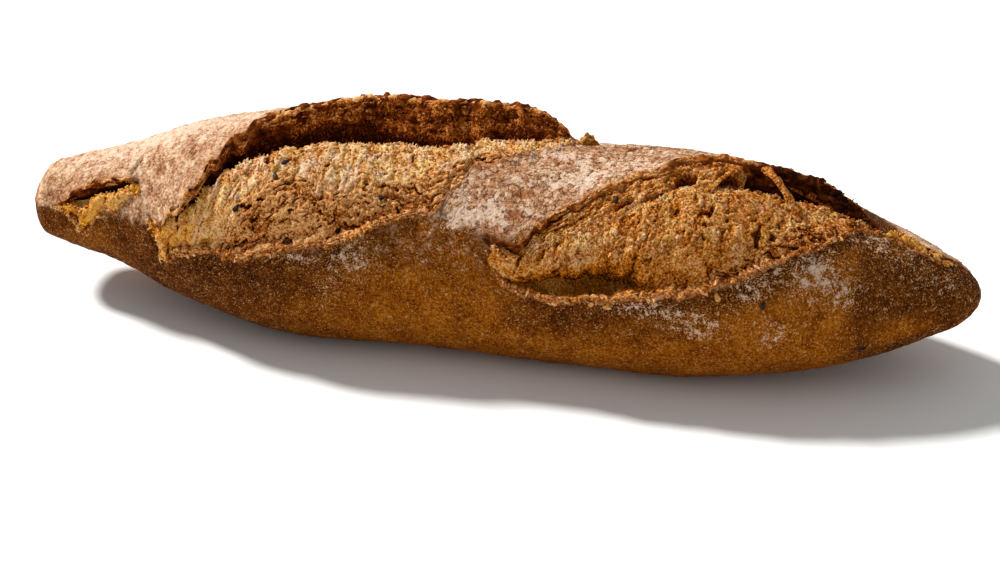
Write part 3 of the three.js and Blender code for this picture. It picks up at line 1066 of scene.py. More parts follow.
@dataclass
class Loaf(Piece):
    """The loaf's crust, with the ears and the floors of the tears.

    Attributes:
        form: the loaf's form.
        rings: rings of faces along the loaf.
        faces: faces around it in each span.
        spacing: how far the rings close up at the tips.
        floor: how far the tears' floors lie under their crumb.
        crisp: the angle past which an edge is drawn sharp, in degrees.
        pale_edge: the angle along the loaf where the floured top ends.
        flour: where flour lies thick, and two patches on the tail's top that are painted light and make it
            paler.
        warmth: where the front is baked warmer than the rest.
        spill: the stretch where flour is flecked past the floured top's edge.
        cracked: the stretch where the floured top is cracked into plates.
        lit: the stretch where the wide tear's ear is baked lighter inside.
        blisters: height and size of the crust's large and small blisters, in millimetres.
        wrinkle: height of the floured top's wrinkles.
        shred: height of the shreds on the ears' insides.
        crack: a short crack in the tail's crust, as its two (x, angle) ends.
        crack_depth: depth of that crack.
        finish: the crust's finish.
    """

    form: LoafForm
    rings: int = 400
    faces: tuple[int, ...] = (8, 20, 26, 58, 26, 58, 12, 36)
    spacing: float = 0.4
    floor: float = 1.6
    crisp: float = 42
    pale_edge: Course = (
        (-155, 76), (-140, 72), (-128, 72), (-118, 71), (-110, 73), (-102, 74), (-95, 70), (-55, 66),
        (-20, 46), (-8, 47), (5, 52), (20, 50), (45, 18), (62, 2), (98, -12), (108, -30), (124, -31),
        (131, -6), (140, -8), (147, -18), (155, -40),
    )
    flour: tuple[Patch, ...] = (
        Patch(-38, 73, 8, 11, 0.6), Patch(-47, 91, 4, 7, 0.4), Patch(-60, 76, 14, 4, 0.6),
        Patch(-12, 64, 18, 18, 0.2), Patch(-6, 45, 6, 6, 0.8), Patch(56, 83, 16, 5, 0.7),
        Patch(72, 90, 9, 6, 0.65), Patch(86, 66, 8, 14, 0.6), Patch(95, 92, 6, 8, 0.6),
        Patch(104, 52, 10, 17, 0.75), Patch(113, 66, 8, 14, 0.5), Patch(122, 20, 12, 14, 0.5),
        Patch(134, -10, 6, 8, 1), Patch(142, 40, 12, 30, 0.4), Patch(19, 0, 12, 6, 1),
        Patch(29, 18, 10, 8, 1), Patch(3, 42, 8, 7, 1), Patch(45, 5, 12, 10, 0.6),
        # The last two patches on the next line are painted light on the tail's top, laid on as extra flour.
        Patch(80, -20, 25, 10, 0.8), Patch(-98, -8, 34, 24, 0.8), Patch(-130, 8, 26, 40, 0.6),
    )
    warmth: tuple[Patch, ...] = (
        Patch(133, 100, 8, 10, 1.3), Patch(1, 80, 15, 18, 0.9), Patch(-132, 100, 16, 22, 0.5),
        Patch(-18, 58, 15, 14, 0.6),
    )
    spill: Stretch = (-60, -30, 4, 14)
    cracked: Stretch = (-25, -5, 55, 80)
    lit: Stretch = (22, 40, 70, 84)
    blisters: tuple[tuple[float, float], tuple[float, float]] = ((0.36, 5.5), (0.2, 1.7))
    wrinkle: float = 0.7
    shred: float = 2.4
    crack: tuple[tuple[float, float], tuple[float, float]] = ((-115, 21), (-117, 39))
    crack_depth: float = 0.9
    finish: FlouredCrust = FlouredCrust()

    def build(self) -> bpy.types.Object:
        """Draws a ball out into the torn loaf.

        Returns:
            The loaf.
        """
        bpy.ops.object.select_all(action="DESELECT")
        bpy.ops.mesh.primitive_uv_sphere_add(segments=sum(self.faces), ring_count=self.rings, radius=1)
        piece = named("torn_loaf")
        ball = points_of(piece) * MM
        rise = np.arcsin(np.clip(ball[:, 2], -1, 1)) * self.spacing
        x = self.form.half_length * np.sin(rise) / np.sin(0.5 * np.pi * self.spacing)
        turn = np.mod(np.arctan2(ball[:, 1], ball[:, 0]) / (2 * np.pi), 1)
        column = np.mod(np.rint(turn * sum(self.faces)), sum(self.faces))
        starts = np.concatenate([[0], np.cumsum(self.faces)])
        span = np.searchsorted(starts, column, side="right") - 1
        reach = self.form.half_length
        share = (column - starts[span]) / np.take(self.faces, span)
        skin = self.form.place(np.clip(x, -reach, reach), span, share)
        move(piece, skin.point)
        self._roughen(piece, skin)
        bpy.ops.object.shade_smooth_by_angle(angle=math.radians(self.crisp))
        return piece

    def _roughen(self, piece: bpy.types.Object, skin: Skin) -> None:
        """Gives the loaf its baked relief, and stores what it is like for the finish.

        Args:
            piece: the loaf.
            skin: its places.
        """
        noise = self.form.noise
        x, angle, point = skin.point[:, 0], skin.angle, skin.point

        # The floured top ends in a ragged edge, softer behind the nose, with flecks past it in places.
        wander = 5 * noise.rough(point / 9, 3)
        pale_edge = course_at(self.pale_edge, x) + wander + 8 * noise.rough(point / 3, 3)
        behind_nose = bell((x - 116) / 12)
        soft = 1 + 1.5 * behind_nose
        pale_edge += 9 * behind_nose * noise.rough(point / 5, 3)
        pale = (1 - step(angle, pale_edge - 2.5 * soft, pale_edge + 3.5 * soft)) * step(angle, -95, -50)
        flecked = soft_stretch(x, self.spill) * bell(np.maximum(angle - pale_edge, 0) / 20)
        pale = np.maximum(pale, 0.7 * flecked * step(noise.rough(point / 2.2, 3), 0.04, 0.4))

        # The crust is baked warmer below the tears and down the back,
        # and part of the wide ear's inside is baked lighter.
        mid = step(x, -30, 10)
        lower = (1 - mid) * course_at(BACK_BAND.lower, x) + mid * course_at(FRONT_BAND.lower, x)
        warm = step(angle + wander, lower + 4, lower + 30) * step(x + 2 * wander, -95, -15)
        warm = warm * (1 - 0.9 * step(x + 2 * wander, 108, 126)) + 0.55 * step(-angle, 40, 90)
        for patch in self.warmth:
            warm += patch.at(x + wander, angle + wander)
        glow = soft_stretch(x, self.lit) * (angle > -30)
        # Painted light: the long ear's inside near the tail is painted lighter, less so where it lies deep.
        glow += 0.3 * bell((x + 88) / 18) * (1 - skin.hollow)
        bake = np.where(skin.ear > 0.1, glow, warm)
        # The flour mask also carries the painted light on the tail's top.
        flour = np.zeros_like(x)
        for patch in self.flour:
            flour += patch.at(x, angle)

        # The crust is blistered and cracked, wrinkled where it is floured, and shredded inside the ears.
        (x0, a0), (x1, a1) = self.crack
        along = np.clip((angle - a0) / (a1 - a0), 0, 1)
        past = np.maximum(np.abs(angle - 0.5 * (a0 + a1)) - 8, 0)
        crack = bell((x - x0 - (x1 - x0) * along) / 0.5) * bell(past / 2)
        smooth = (1 - skin.crumb) * (1 - skin.ear)
        (high, broad), (low, small) = self.blisters
        blister = high * noise.rough(point / broad, 3) + low * noise.rough(point / small, 2)
        slant = np.stack([x + 0.7 * point[:, 1], 3.2 * (x - 0.9 * point[:, 1]), point[:, 2]], axis=-1)
        wrinkle = self.wrinkle * (noise.ridges(slant / 6, 3) - 0.5)
        torn = self.shred * (noise.ridges(point / (6, 3, 3), 3) - 0.5) + 0.7 * noise.rough(point / 1.8, 2)
        relief = smooth * (blister + pale * wrinkle) + skin.ear * (1 - skin.crumb) * torn
        relief -= self.floor * skin.crumb
        relief -= self.crack_depth * crack
        relief *= step(point[:, 2], 0, 3)
        move(piece, point + relief[:, None] * points_of(piece, "normal"))

        # Shade is painted dark into the crevices, the crack and the nose end's ear, and the lips' torn edges
        # show in places.
        hollow = np.maximum(0.9 * skin.hollow, 0.8 * crack)
        hollow = np.maximum(hollow, 0.7 * skin.ear * step(x, 80, 92))
        lip = step(skin.lip + 0.5 * noise.rough(point / 2.2, 2), 0.35, 0.8) * (1 - 0.5 * pale)
        crackle = pale * (0.15 + 0.85 * soft_stretch(x, self.cracked))
        keep(
            piece, crumb=skin.crumb, ear=skin.ear, lip=lip, hollow=hollow, pale=pale, flour=flour, bake=bake,
            crackle=crackle,
        )

    def dress(self, piece: bpy.types.Object) -> None:
        """Finishes the loaf and puts it in the frame, in its solid's place."""
        super().dress(piece)
        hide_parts(NODE)


class Weave(Enum):
    """What the crumb is torn into.

    Each has its size along and across the tear, in millimetres, and a shift that makes its noise its own.
    """

    BEND = (6, 8, 0)
    SWAY = (3, 4, 2)
    LUMPS = (11, 13, 3)
    FIBRES = (3.4, 12, 5)
    FLAKES = (1.7, 2.6, 7)
    SAND = (0.85, 0.95, 9)
    HOLLOWS = (4, 6, 11)
    LAYERS = (16, 2.6, 13)
    GRIT = (1.7, 2, 15)
    FOLDS = (4.5, 20, 17)
    BEADS = (1.5, 1.8, 19)
    CALM = (7, 9, 21)
    PORES = (2, 2.4, 23)
    CLODS = (4.2, 5, 27)
    CHIPS = (2.4, 1.6, 31)
    GAPS = (3.4, 1.8, 33)
    DIPS = (4, 4, 35)

    def over(self, x: Array, across: Array, seed: Array) -> Array:
        """Places for its noise, in units of its size along and across the tear."""
        along, width, shift = self.value
        return np.stack([x / along, across / width, seed + shift], axis=-1)


@dataclass
class Crumb(Piece):
    """The open crumb in one tear.

    Attributes:
        form: the loaf's form.
        tear: the tear that it fills.
        name: the piece's name.
        widest: the tear's greatest width.
        span: where it begins and ends along the loaf, if not with its tear.
        cell: size of its faces, in millimetres.
        reach: the shares of the torn profile that it begins and ends at.
        shag: how far the crumb is drawn out into fibres and flakes.
        glow: how much paler than other crumb it is, along the loaf.
        toast: how far it is toasted.
        gold: how golden the crumb is along the loaf.
        mild: how far the golden crumb is smooth and not broken into clods.
        dip: how far from its left end the crumb dips under the crust, in millimetres.
        strip: the share of the width, along the loaf, past which a strip of crust is left on the crumb.
        under: how far its rim is turned under, in millimetres.
        finish: the crumb's finish.
    """

    form: LoafForm
    tear: Tear
    name: str
    widest: float
    span: tuple[float, float] | None = None
    cell: float = 0.34
    reach: tuple[float, float] = (0.26, 0.97)
    shag: float = 1
    glow: Course = ((-155, 0), (155, 0))
    toast: float = 0.3
    gold: Course = ((-155, 0), (155, 0))
    mild: float = 0
    dip: float = 3
    strip: Course = ((-155, 2), (155, 2))
    under: float = 1.5
    finish: TornCrumb = TornCrumb()

    def build(self) -> bpy.types.Object:
        """Draws a sheet over the tear and tears it into shreds and pores.

        Returns:
            The crumb, closed underneath.
        """
        start, end = self.ends()
        bpy.ops.object.select_all(action="DESELECT")
        bpy.ops.mesh.primitive_grid_add(
            x_subdivisions=int((end - start) / self.cell),
            y_subdivisions=int(self.widest / self.cell),
            size=1,
        )
        piece = named(self.name)
        sheet = points_of(piece) * MM
        u, v = sheet[:, 0] + 0.5, 0.5 - sheet[:, 1]
        skin = self.lay(start + (end - start) * u, v)
        move(piece, skin.point)
        self.tear_open(piece, skin, u, v)
        self._close()
        bpy.ops.object.shade_smooth()
        return piece

    def ends(self) -> tuple[float, float]:
        """Where the piece begins and ends along the loaf."""
        return self.span or (self.tear.start, self.tear.end)

    def lay(self, x: Array, v: Array) -> Skin:
        """Lays the sheet over the tear.

        Args:
            x: stations along the loaf.
            v: share of the way across the sheet.

        Returns:
            The sheet's places.
        """
        share = self.reach[0] + (self.reach[1] - self.reach[0]) * v
        return self.form.place(x, np.full(len(x), self.tear.span), share)

    def tear_open(self, piece: bpy.types.Object, skin: Skin, u: Array, v: Array) -> None:
        """Gives the crumb its shreds and pores, and stores what it is like for the finish.

        Args:
            piece: the crumb.
            skin: its places.
            u: share of the way along the tear.
            v: share of the way across it.
        """
        noise = self.form.noise
        x, across = skin.point[:, 0], skin.across
        seed = np.full_like(x, 0.61 * self.tear.start)
        bend, sway = (noise.rough(kind.over(x, across, seed), 2) for kind in (Weave.BEND, Weave.SWAY))
        bent = (x + 2.2 * bend + 0.9 * sway, across + 2 * sway, seed)
        lumps, grit, sand, calm, holes, pores, chips, gaps = (
            noise.rough(kind.over(*bent), 2)
            for kind in (
                Weave.LUMPS, Weave.GRIT, Weave.SAND, Weave.CALM,
                Weave.HOLLOWS, Weave.PORES, Weave.CHIPS, Weave.GAPS,
            )
        )
        fibres, flakes, folds = (
            noise.ridges(kind.over(*bent), 2) for kind in (Weave.FIBRES, Weave.FLAKES, Weave.FOLDS)
        )
        layers = noise.ridges(Weave.LAYERS.over(*bent), 3)
        beads, clods = (1 - noise.holes(kind.over(*bent)) for kind in (Weave.BEADS, Weave.CLODS))
        smooth = step(calm, -0.1, 0.5)
        hollows = step(holes, 0.36, 0.62) + 0.7 * step(pores, 0.42, 0.7)
        chips, gaps = step(chips, 0.25, 0.5), step(gaps, 0.25, 0.5)

        # A strip of crust is left along part of the crumb, and part of the crumb is damp or golden.
        limit = course_at(self.strip, x) + 0.09 * bend
        strip = step(skin.part, limit, limit + 0.05) * (1 - step(skin.part, 0.97, 1))
        damp = step(skin.part + 0.08 * bend, 0.54, 0.8) * np.clip(course_at(self.tear.ledge, x) / 4.5, 0, 1)
        gold = course_at(self.gold, x) * (0.8 + 0.6 * bend)

        # Open crumb is drawn out into fibres and flakes, and broken into clods, pores and sand.
        open_crumb = (1 - np.maximum(0.75 * damp, self.mild * gold)) * (1 - 0.7 * strip)
        drawn = self.shag * (0.8 * (fibres - 0.4) + 0.45 * (flakes - 0.4)) - 1.4 * hollows
        drawn += (0.75 + gold) * (clods - 0.45)
        sandy = 0.45 * (beads - 0.45) + 0.45 * grit + 0.35 * sand
        rise = open_crumb * (drawn * (1 - 0.4 * smooth) + sandy * (1 - 0.5 * smooth))
        crusty = strip * (1.2 * (layers - 0.45) + 0.35 * grit + 0.45 * sand - 0.7 * gaps)
        rise += crusty + 0.9 * damp * (folds - 0.5)

        # Its rim and its left end sink under the crust.
        rim = np.minimum(v / 0.05, np.minimum(u, 1 - u) / 0.03)
        sunk = 2.2 * (1 - step(rim, 0, 1)) + 0.5 * (1 - step(1 - v, 0, 0.03))
        dips = self.tear.start + self.dip * (1 + noise.rough(Weave.DIPS.over(*bent), 3))
        sunk += 1.8 * (1 - step(x, dips - 3, dips + 3))
        relief = rise + 0.9 * lumps - sunk
        move(piece, skin.point + relief[:, None] * points_of(piece, "normal"))

        # Crests are painted paler, as painted highlights, and pits darker, as painted shade, more so in
        # golden crumb.
        # On the strip of crust the raised chips are painted paler and the gaps between its layers darker,
        # the crevice behind the lower lip takes painted shade, and pores are painted more toasted as part of
        # their shade.
        contrast = np.where(rise > 0, 0.66, 1.05) + 0.4 * gold
        height = 0.51 + course_at(self.glow, x) + contrast * rise
        height += strip * (0.65 * chips - 0.6 * gaps - 0.03)
        height -= 1.5 * skin.hollow**1.4 * damp
        keep(
            piece,
            height=height,
            toast=self.toast + 0.5 * step(lumps, 0, 0.6) + 0.4 * hollows,
            strip=0.9 * strip,
            damp=np.maximum(damp, gold) * (1 - strip),
            crest=bell((skin.part - self.tear.crest) / 0.16),
        )

    def _close(self) -> None:
        """Turns the sheet's rim under and closes it."""
        bpy.ops.object.mode_set(mode="EDIT")
        bpy.ops.mesh.select_all(action="SELECT")
        bpy.ops.mesh.region_to_loop()
        bpy.ops.mesh.extrude_region_move(TRANSFORM_OT_translate={"value": (0, 0, -self.under * MM)})
        bpy.ops.mesh.edge_face_add()
        bpy.ops.object.mode_set(mode="OBJECT")


@dataclass(frozen=True)
class Pocket:
    """A pocket in the web between an ear and the crumb.

    Attributes:
        x: its middle along the loaf.
        part: its middle, as a share of the way from the ear to the crumb.
        along: half of its length, in millimetres.
        over: half of its height, as a share of the way from the ear to the crumb.
    """

    x: float
    part: float
    along: float
    over: float


@dataclass
class Web(Crumb):
    """The web of torn crumb that still joins a tear's crumb to its ear, with pockets in it.

    Attributes:
        span: where it begins and ends along the loaf.
        deep: depth of its pockets, in millimetres.
        pockets: the pockets.
    """

    span: tuple[float, float] = (14, 80)
    deep: float = 5.5
    pockets: tuple[Pocket, ...] = (
        Pocket(26, 0.5, 2.2, 0.07), Pocket(32, 0.42, 1.4, 0.05), Pocket(45, 0.62, 2.6, 0.12),
        Pocket(53, 0.68, 3, 0.13), Pocket(62, 0.52, 3.8, 0.2), Pocket(75, 0.58, 4.6, 0.3),
    )

    def lay(self, x: Array, v: Array) -> Skin:
        """Spans the sheet from the ear's edge to the crumb's crest.

        Args:
            x: stations along the loaf.
            v: share of the way from the ear to the crumb.

        Returns:
            The sheet's places.
        """
        band = np.full(len(x), self.tear.span)
        above, below = (self.form.place(x, band, np.full_like(x, share)) for share in self.reach)
        below.point = above.point + (below.point - above.point) * v[:, None]
        below.across = np.linalg.norm(below.point - above.point, axis=1)
        return below

    def tear_open(self, piece: bpy.types.Object, skin: Skin, u: Array, v: Array) -> None:
        """Gives the web its pockets and its torn surface, and stores what it is like for the finish.

        Args:
            piece: the web.
            skin: its places.
            u: share of the way along the web.
            v: share of the way from the ear to the crumb.
        """
        noise = self.form.noise
        point, x = skin.point, skin.point[:, 0]
        ragged = 0.4 * noise.rough(point / 2.2, 3)
        opened = np.zeros_like(x)
        for pocket in self.pockets:
            far = np.hypot((x - pocket.x) / pocket.along, (v - pocket.part) / pocket.over) + ragged
            opened = np.maximum(opened, 1 - step(far, 0.75, 1.1))
        fibres = noise.ridges(np.stack([x / 2.2, skin.across / 7, 0 * x + 4.4], axis=-1), 2)
        layers = noise.ridges(np.stack([x / 8, 5 * v + ragged, 0 * x + 6.1], axis=-1), 2)
        torn = 0.6 * (fibres - 0.4) + 1.5 * (layers - 0.45) + 0.6 * noise.rough(point / 1.8, 2)
        torn += 0.4 * noise.rough(point / 0.9, 2)
        rim = np.minimum(v / 0.06, np.minimum(u, 1 - u) / 0.06)
        sunk = 1.8 * (1 - step(rim, 0, 1)) + 0.5 * (1 - step(1 - v, 0, 0.1))
        relief = torn * (1 - opened) - self.deep * opened - sunk
        move(piece, point + relief[:, None] * points_of(piece, "normal"))
        # Painted shade and highlight: the pockets are painted dark, and raised tears are painted paler.
        keep(
            piece,
            height=(0.42 + 0.3 * torn) * (1 - opened),
            toast=1.2 - 0.9 * v + 0.4 * opened,
            strip=np.maximum(0.5 * (1 - step(v, 0.1, 0.35)), opened),
            damp=0 * x,
            crest=0 * x,
        )


class Lip(Enum):
    """The two lips of a tear."""

    UPPER = "upper"
    LOWER = "lower"


@dataclass
class Fringe(Crumb):
    """The ragged torn edge along one lip of a tear.

    Attributes:
        lip: which lip it runs along.
        inside: how far it reaches into the tear, as a share of the torn profile.
        lap: how far it laps over the crust past the lip, as a share of the span there.
        turn: the share of its own width that lies past the lip.
        rag: height of its rags, in millimetres.
        crusty: how far it is brown crust and not golden crumb.
        shade: how much darker it is painted away from its very edge, as painted shade inside the ear.
        plies: how many layers it is torn into.
        bright: how much paler its very edge is painted, as a painted highlight on the rim; below 0 it is
            painted shade.
        broken: how far it sinks out of sight in places, in millimetres.
    """

    lip: Lip = Lip.UPPER
    inside: float = 0.05
    lap: float = 0.05
    turn: float = 0.35
    rag: float = 0.8
    crusty: float = 0.5
    shade: float = 0
    plies: float = 4
    bright: float = 0.2
    broken: float = 0

    def lay(self, x: Array, v: Array) -> Skin:
        """Folds the sheet over the lip.

        Args:
            x: stations along the loaf.
            v: share of the way down across the fringe.

        Returns:
            The sheet's places.
        """
        band, upper = self.tear.span, self.lip is Lip.UPPER
        w = v if upper else 1 - v
        past = np.clip(1 - w / self.turn, 0, 1) * self.lap
        within = np.clip((w - self.turn) / (1 - self.turn), 0, 1) * self.inside
        beside, outer, inner = (band - 1, 1 - past, within) if upper else (band + 1, past, 1 - within)
        lapped = w < self.turn
        return self.form.place(x, np.where(lapped, beside, band), np.where(lapped, outer, inner))

    def tear_open(self, piece: bpy.types.Object, skin: Skin, u: Array, v: Array) -> None:
        """Gives the fringe its rags, and stores what it is like for the finish.

        Args:
            piece: the fringe.
            skin: its places.
            u: share of the way along the fringe.
            v: share of the way down across it.
        """
        noise = self.form.noise
        point, x = skin.point, skin.point[:, 0]
        own = 0 * x + 0.3 * self.tear.end
        ply = self.plies * v + 0.8 * noise.rough(point / 4, 2)
        layers = noise.ridges(np.stack([x / 12, ply, own], axis=-1), 2)
        teeth = noise.rough(np.stack([x / 3.6, 1.8 * v, own + 5], axis=-1), 3)
        rags = 1.5 * (layers - 0.4) + 0.8 * teeth + 0.35 * noise.rough(point / 0.9, 2)
        edge = bell(((v if self.lip is Lip.UPPER else 1 - v) - self.turn) / 0.1)
        inward = np.minimum(v, 1 - v)
        bite = 0.3 * self.rag * noise.rough(np.stack([x / 2.6, 2 * v, own + 13], axis=-1), 2)
        rim = np.minimum(np.minimum((inward + bite) / 0.2, inward / 0.06), np.minimum(u, 1 - u) / 0.04)
        whole = step(noise.rough(np.stack([x / 9, own + 9, own], axis=-1), 2), -0.35, 0.1)
        relief = self.rag * rags * (0.4 + 0.6 * whole) * (1 - 0.4 * edge) + 0.1 - 1.2 * (1 - step(rim, 0, 1))
        relief -= self.broken * (1 - whole)
        move(piece, point + relief[:, None] * points_of(piece, "normal"))
        # Painted light: a highlight on the rim, shade away from it, paler raised rags, and darker where it
        # lies deep.
        keep(
            piece,
            height=0.45 + self.bright * edge - self.shade * (1 - edge) + 0.4 * rags - 0.6 * skin.hollow,
            toast=1 + 0.3 * teeth,
            strip=self.crusty + 0.5 * teeth,
            damp=0 * x,
        )


class Bit(Enum):
    """The kinds of loose bits that torn bread leaves."""

    SHRED = "shred"
    GRAIN = "grain"
    FLAKE = "flake"


@dataclass
class Strewn(Piece):
    """Loose bits of torn bread that cling to the crumb and fringe the lips.

    Attributes:
        bit: which bits they are.
        name: the piece's name.
        on_crumb: how many lie on the crumb.
        on_lips: how many lie along the lips.
        length: their least and greatest length, in millimetres.
        girth: their least and greatest half thickness, in millimetres.
        seed: what the strewing is drawn from.
        scatter: how far a bit may lie off the place picked for it, along each axis in millimetres.
        finish: the crumb's finish.
    """

    bit: Bit
    name: str
    on_crumb: int
    on_lips: int
    length: tuple[float, float]
    girth: tuple[float, float]
    seed: int
    scatter: tuple[float, float, float] = (0.5, 0.15, 0.15)
    finish: TornCrumb = TornCrumb()

    def build(self, loaf: bpy.types.Object, crumbs: Sequence[bpy.types.Object]) -> bpy.types.Object:
        """Models one bit and strews copies of it.

        Args:
            loaf: the loaf, for its lips.
            crumbs: the open crumb in each tear.

        Returns:
            All the bits as one piece.
        """
        draw = np.random.default_rng(self.seed)
        roots = [self._on_crumb(draw, crumbs), self._on_lips(draw, loaf)]
        point, normal, height, toast, strip, damp = (np.concatenate(values) for values in zip(*roots))
        shape, triangles = self._model()
        frames = self._frames(draw, normal)
        point = point + self.scatter * draw.uniform(-1, 1, size=point.shape)
        uneven = shape * draw.uniform(0.75, 1.25, size=(len(point), len(shape), 1))
        points = point[:, None] + uneven @ frames
        faces = triangles[None] + len(shape) * np.arange(len(points))[:, None, None]
        mesh = bpy.data.meshes.new(self.name)
        mesh.from_pydata((points.reshape(-1, 3) * MM).tolist(), [], faces.reshape(-1, 3).tolist())
        piece = bpy.data.objects.new(self.name, mesh)
        bpy.context.collection.objects.link(piece)
        # Painted light: each bit is painted paler toward its top and darker toward its foot.
        tip = 0.12 * np.clip(shape[:, 2], -1, 1)
        toast, strip, damp = (np.repeat(values, len(shape)) for values in (toast, strip, damp))
        keep(piece, height=(height[:, None] + tip).ravel(), toast=toast, strip=strip, damp=damp)
        return piece

    def _model(self) -> tuple[Array, Array]:
        """Models one bit a unit in size.

        Returns:
            Its vertices and its triangles.
        """
        bpy.ops.object.select_all(action="DESELECT")
        if self.bit is Bit.GRAIN:
            bpy.ops.mesh.primitive_ico_sphere_add(subdivisions=1, radius=1)
        else:
            sides, foot, courses = {
                Bit.FLAKE: (7, 0, ((1, 0.8),)),
                Bit.SHRED: (3, -0.3, ((0.55, 0.9), (0.4, 0.7), (0.35, 0.4))),
            }[self.bit]
            bpy.ops.mesh.primitive_circle_add(
                vertices=sides, radius=1, fill_type="NGON", location=(0, 0, foot)
            )
            bpy.ops.object.transform_apply(location=True)
            bpy.ops.object.mode_set(mode="EDIT")
            for rise, taper in courses:
                bpy.ops.mesh.extrude_region_move(TRANSFORM_OT_translate={"value": (0, 0, rise)})
                bpy.ops.transform.resize(value=(taper, taper, 1))
            bpy.ops.mesh.select_all(action="SELECT")
            bpy.ops.mesh.normals_make_consistent(inside=False)
            bpy.ops.object.mode_set(mode="OBJECT")
        model = named(self.bit.value)
        model.data.calc_loop_triangles()
        corners = np.empty(3 * len(model.data.loop_triangles), np.int32)
        model.data.loop_triangles.foreach_get("vertices", corners)
        shape = points_of(model) * MM
        bpy.data.objects.remove(model)
        return shape, corners.reshape(-1, 3)

    def _frames(self, draw: np.random.Generator, normal: Array) -> Array:
        """Turns and sizes each bit.

        Args:
            draw: the source of chance.
            normal: the outward direction at each bit.

        Returns:
            The three axes of each bit, as (n, 3, 3).
        """
        count = len(normal)
        loose = {Bit.GRAIN: 1.2, Bit.SHRED: 0.6, Bit.FLAKE: 0.7}[self.bit]
        up = normal + loose * draw.normal(size=(count, 3)) / math.sqrt(3)
        up /= np.linalg.norm(up, axis=1, keepdims=True)
        side = np.cross(up, draw.normal(size=(count, 3)))
        side /= np.linalg.norm(side, axis=1, keepdims=True)
        other = np.cross(up, side)
        sizes = (self.length, self.girth, self.girth)
        length, broad, thin = (draw.uniform(*limits, (count, 1)) for limits in sizes)
        return np.stack([1.4 * broad * side, 0.8 * thin * other, length * up], axis=1)

    def _on_crumb(self, draw: np.random.Generator, crumbs: Sequence[bpy.types.Object]) -> tuple[Array, ...]:
        """Picks places on the crumb, more of them along its crests.

        Args:
            draw: the source of chance.
            crumbs: the open crumb in each tear.

        Returns:
            The places, the outward directions, and how pale, toasted, crusty and golden the bits are there.
        """
        names = ("height", "strip", "damp", "crest")
        rows = zip(*(
            (points_of(one), points_of(one, "normal"), *(kept(one, name) for name in names)) for one in crumbs
        ))
        point, normal, height, strip, damp, crest = (np.concatenate(values) for values in rows)
        chance = (0.3 + crest) * np.clip(height - 0.2, 0, 1) * (1 - 0.6 * strip)
        pick = draw.choice(len(point), self.on_crumb, p=chance / chance.sum())
        pale = height[pick] + draw.uniform(-0.25, 0.1, self.on_crumb)
        return point[pick], normal[pick], pale, draw.uniform(0.2, 1, self.on_crumb), strip[pick], damp[pick]

    def _on_lips(self, draw: np.random.Generator, loaf: bpy.types.Object) -> tuple[Array, ...]:
        """Picks places along the lower torn lips.

        Args:
            draw: the source of chance.
            loaf: the loaf.

        Returns:
            The places, the outward directions, and how pale, toasted, crusty and golden the bits are there.
        """
        lip = kept(loaf, "lip")
        chance = np.where(lip > 0.45, lip, 0) * (kept(loaf, "ear") < 0.5) * (1 - kept(loaf, "pale"))
        pick = draw.choice(len(lip), self.on_lips, p=chance / chance.sum())
        pale = draw.uniform(0.3, 0.75, self.on_lips)
        crusty = draw.uniform(0, 1, self.on_lips)
        even = np.ones(self.on_lips)
        return points_of(loaf)[pick], points_of(loaf, "normal")[pick], pale, even, crusty, 0 * even


@dataclass(frozen=True)
class Strand:
    """A strand of crust that still spans the wide tear, from the ear's inside to the crumb.

    Attributes:
        ear_x: where it leaves the ear, along the loaf.
        ear_share: where it leaves the ear, as a share of the torn profile.
        crumb_x: where it ends on the crumb, along the loaf.
        crumb_share: where it ends on the crumb, as a share of the torn profile.
        rise: how far it bows outward.
        girth: its half thickness where it is thinnest.
    """

    ear_x: float
    ear_share: float
    crumb_x: float
    crumb_share: float
    rise: float
    girth: float


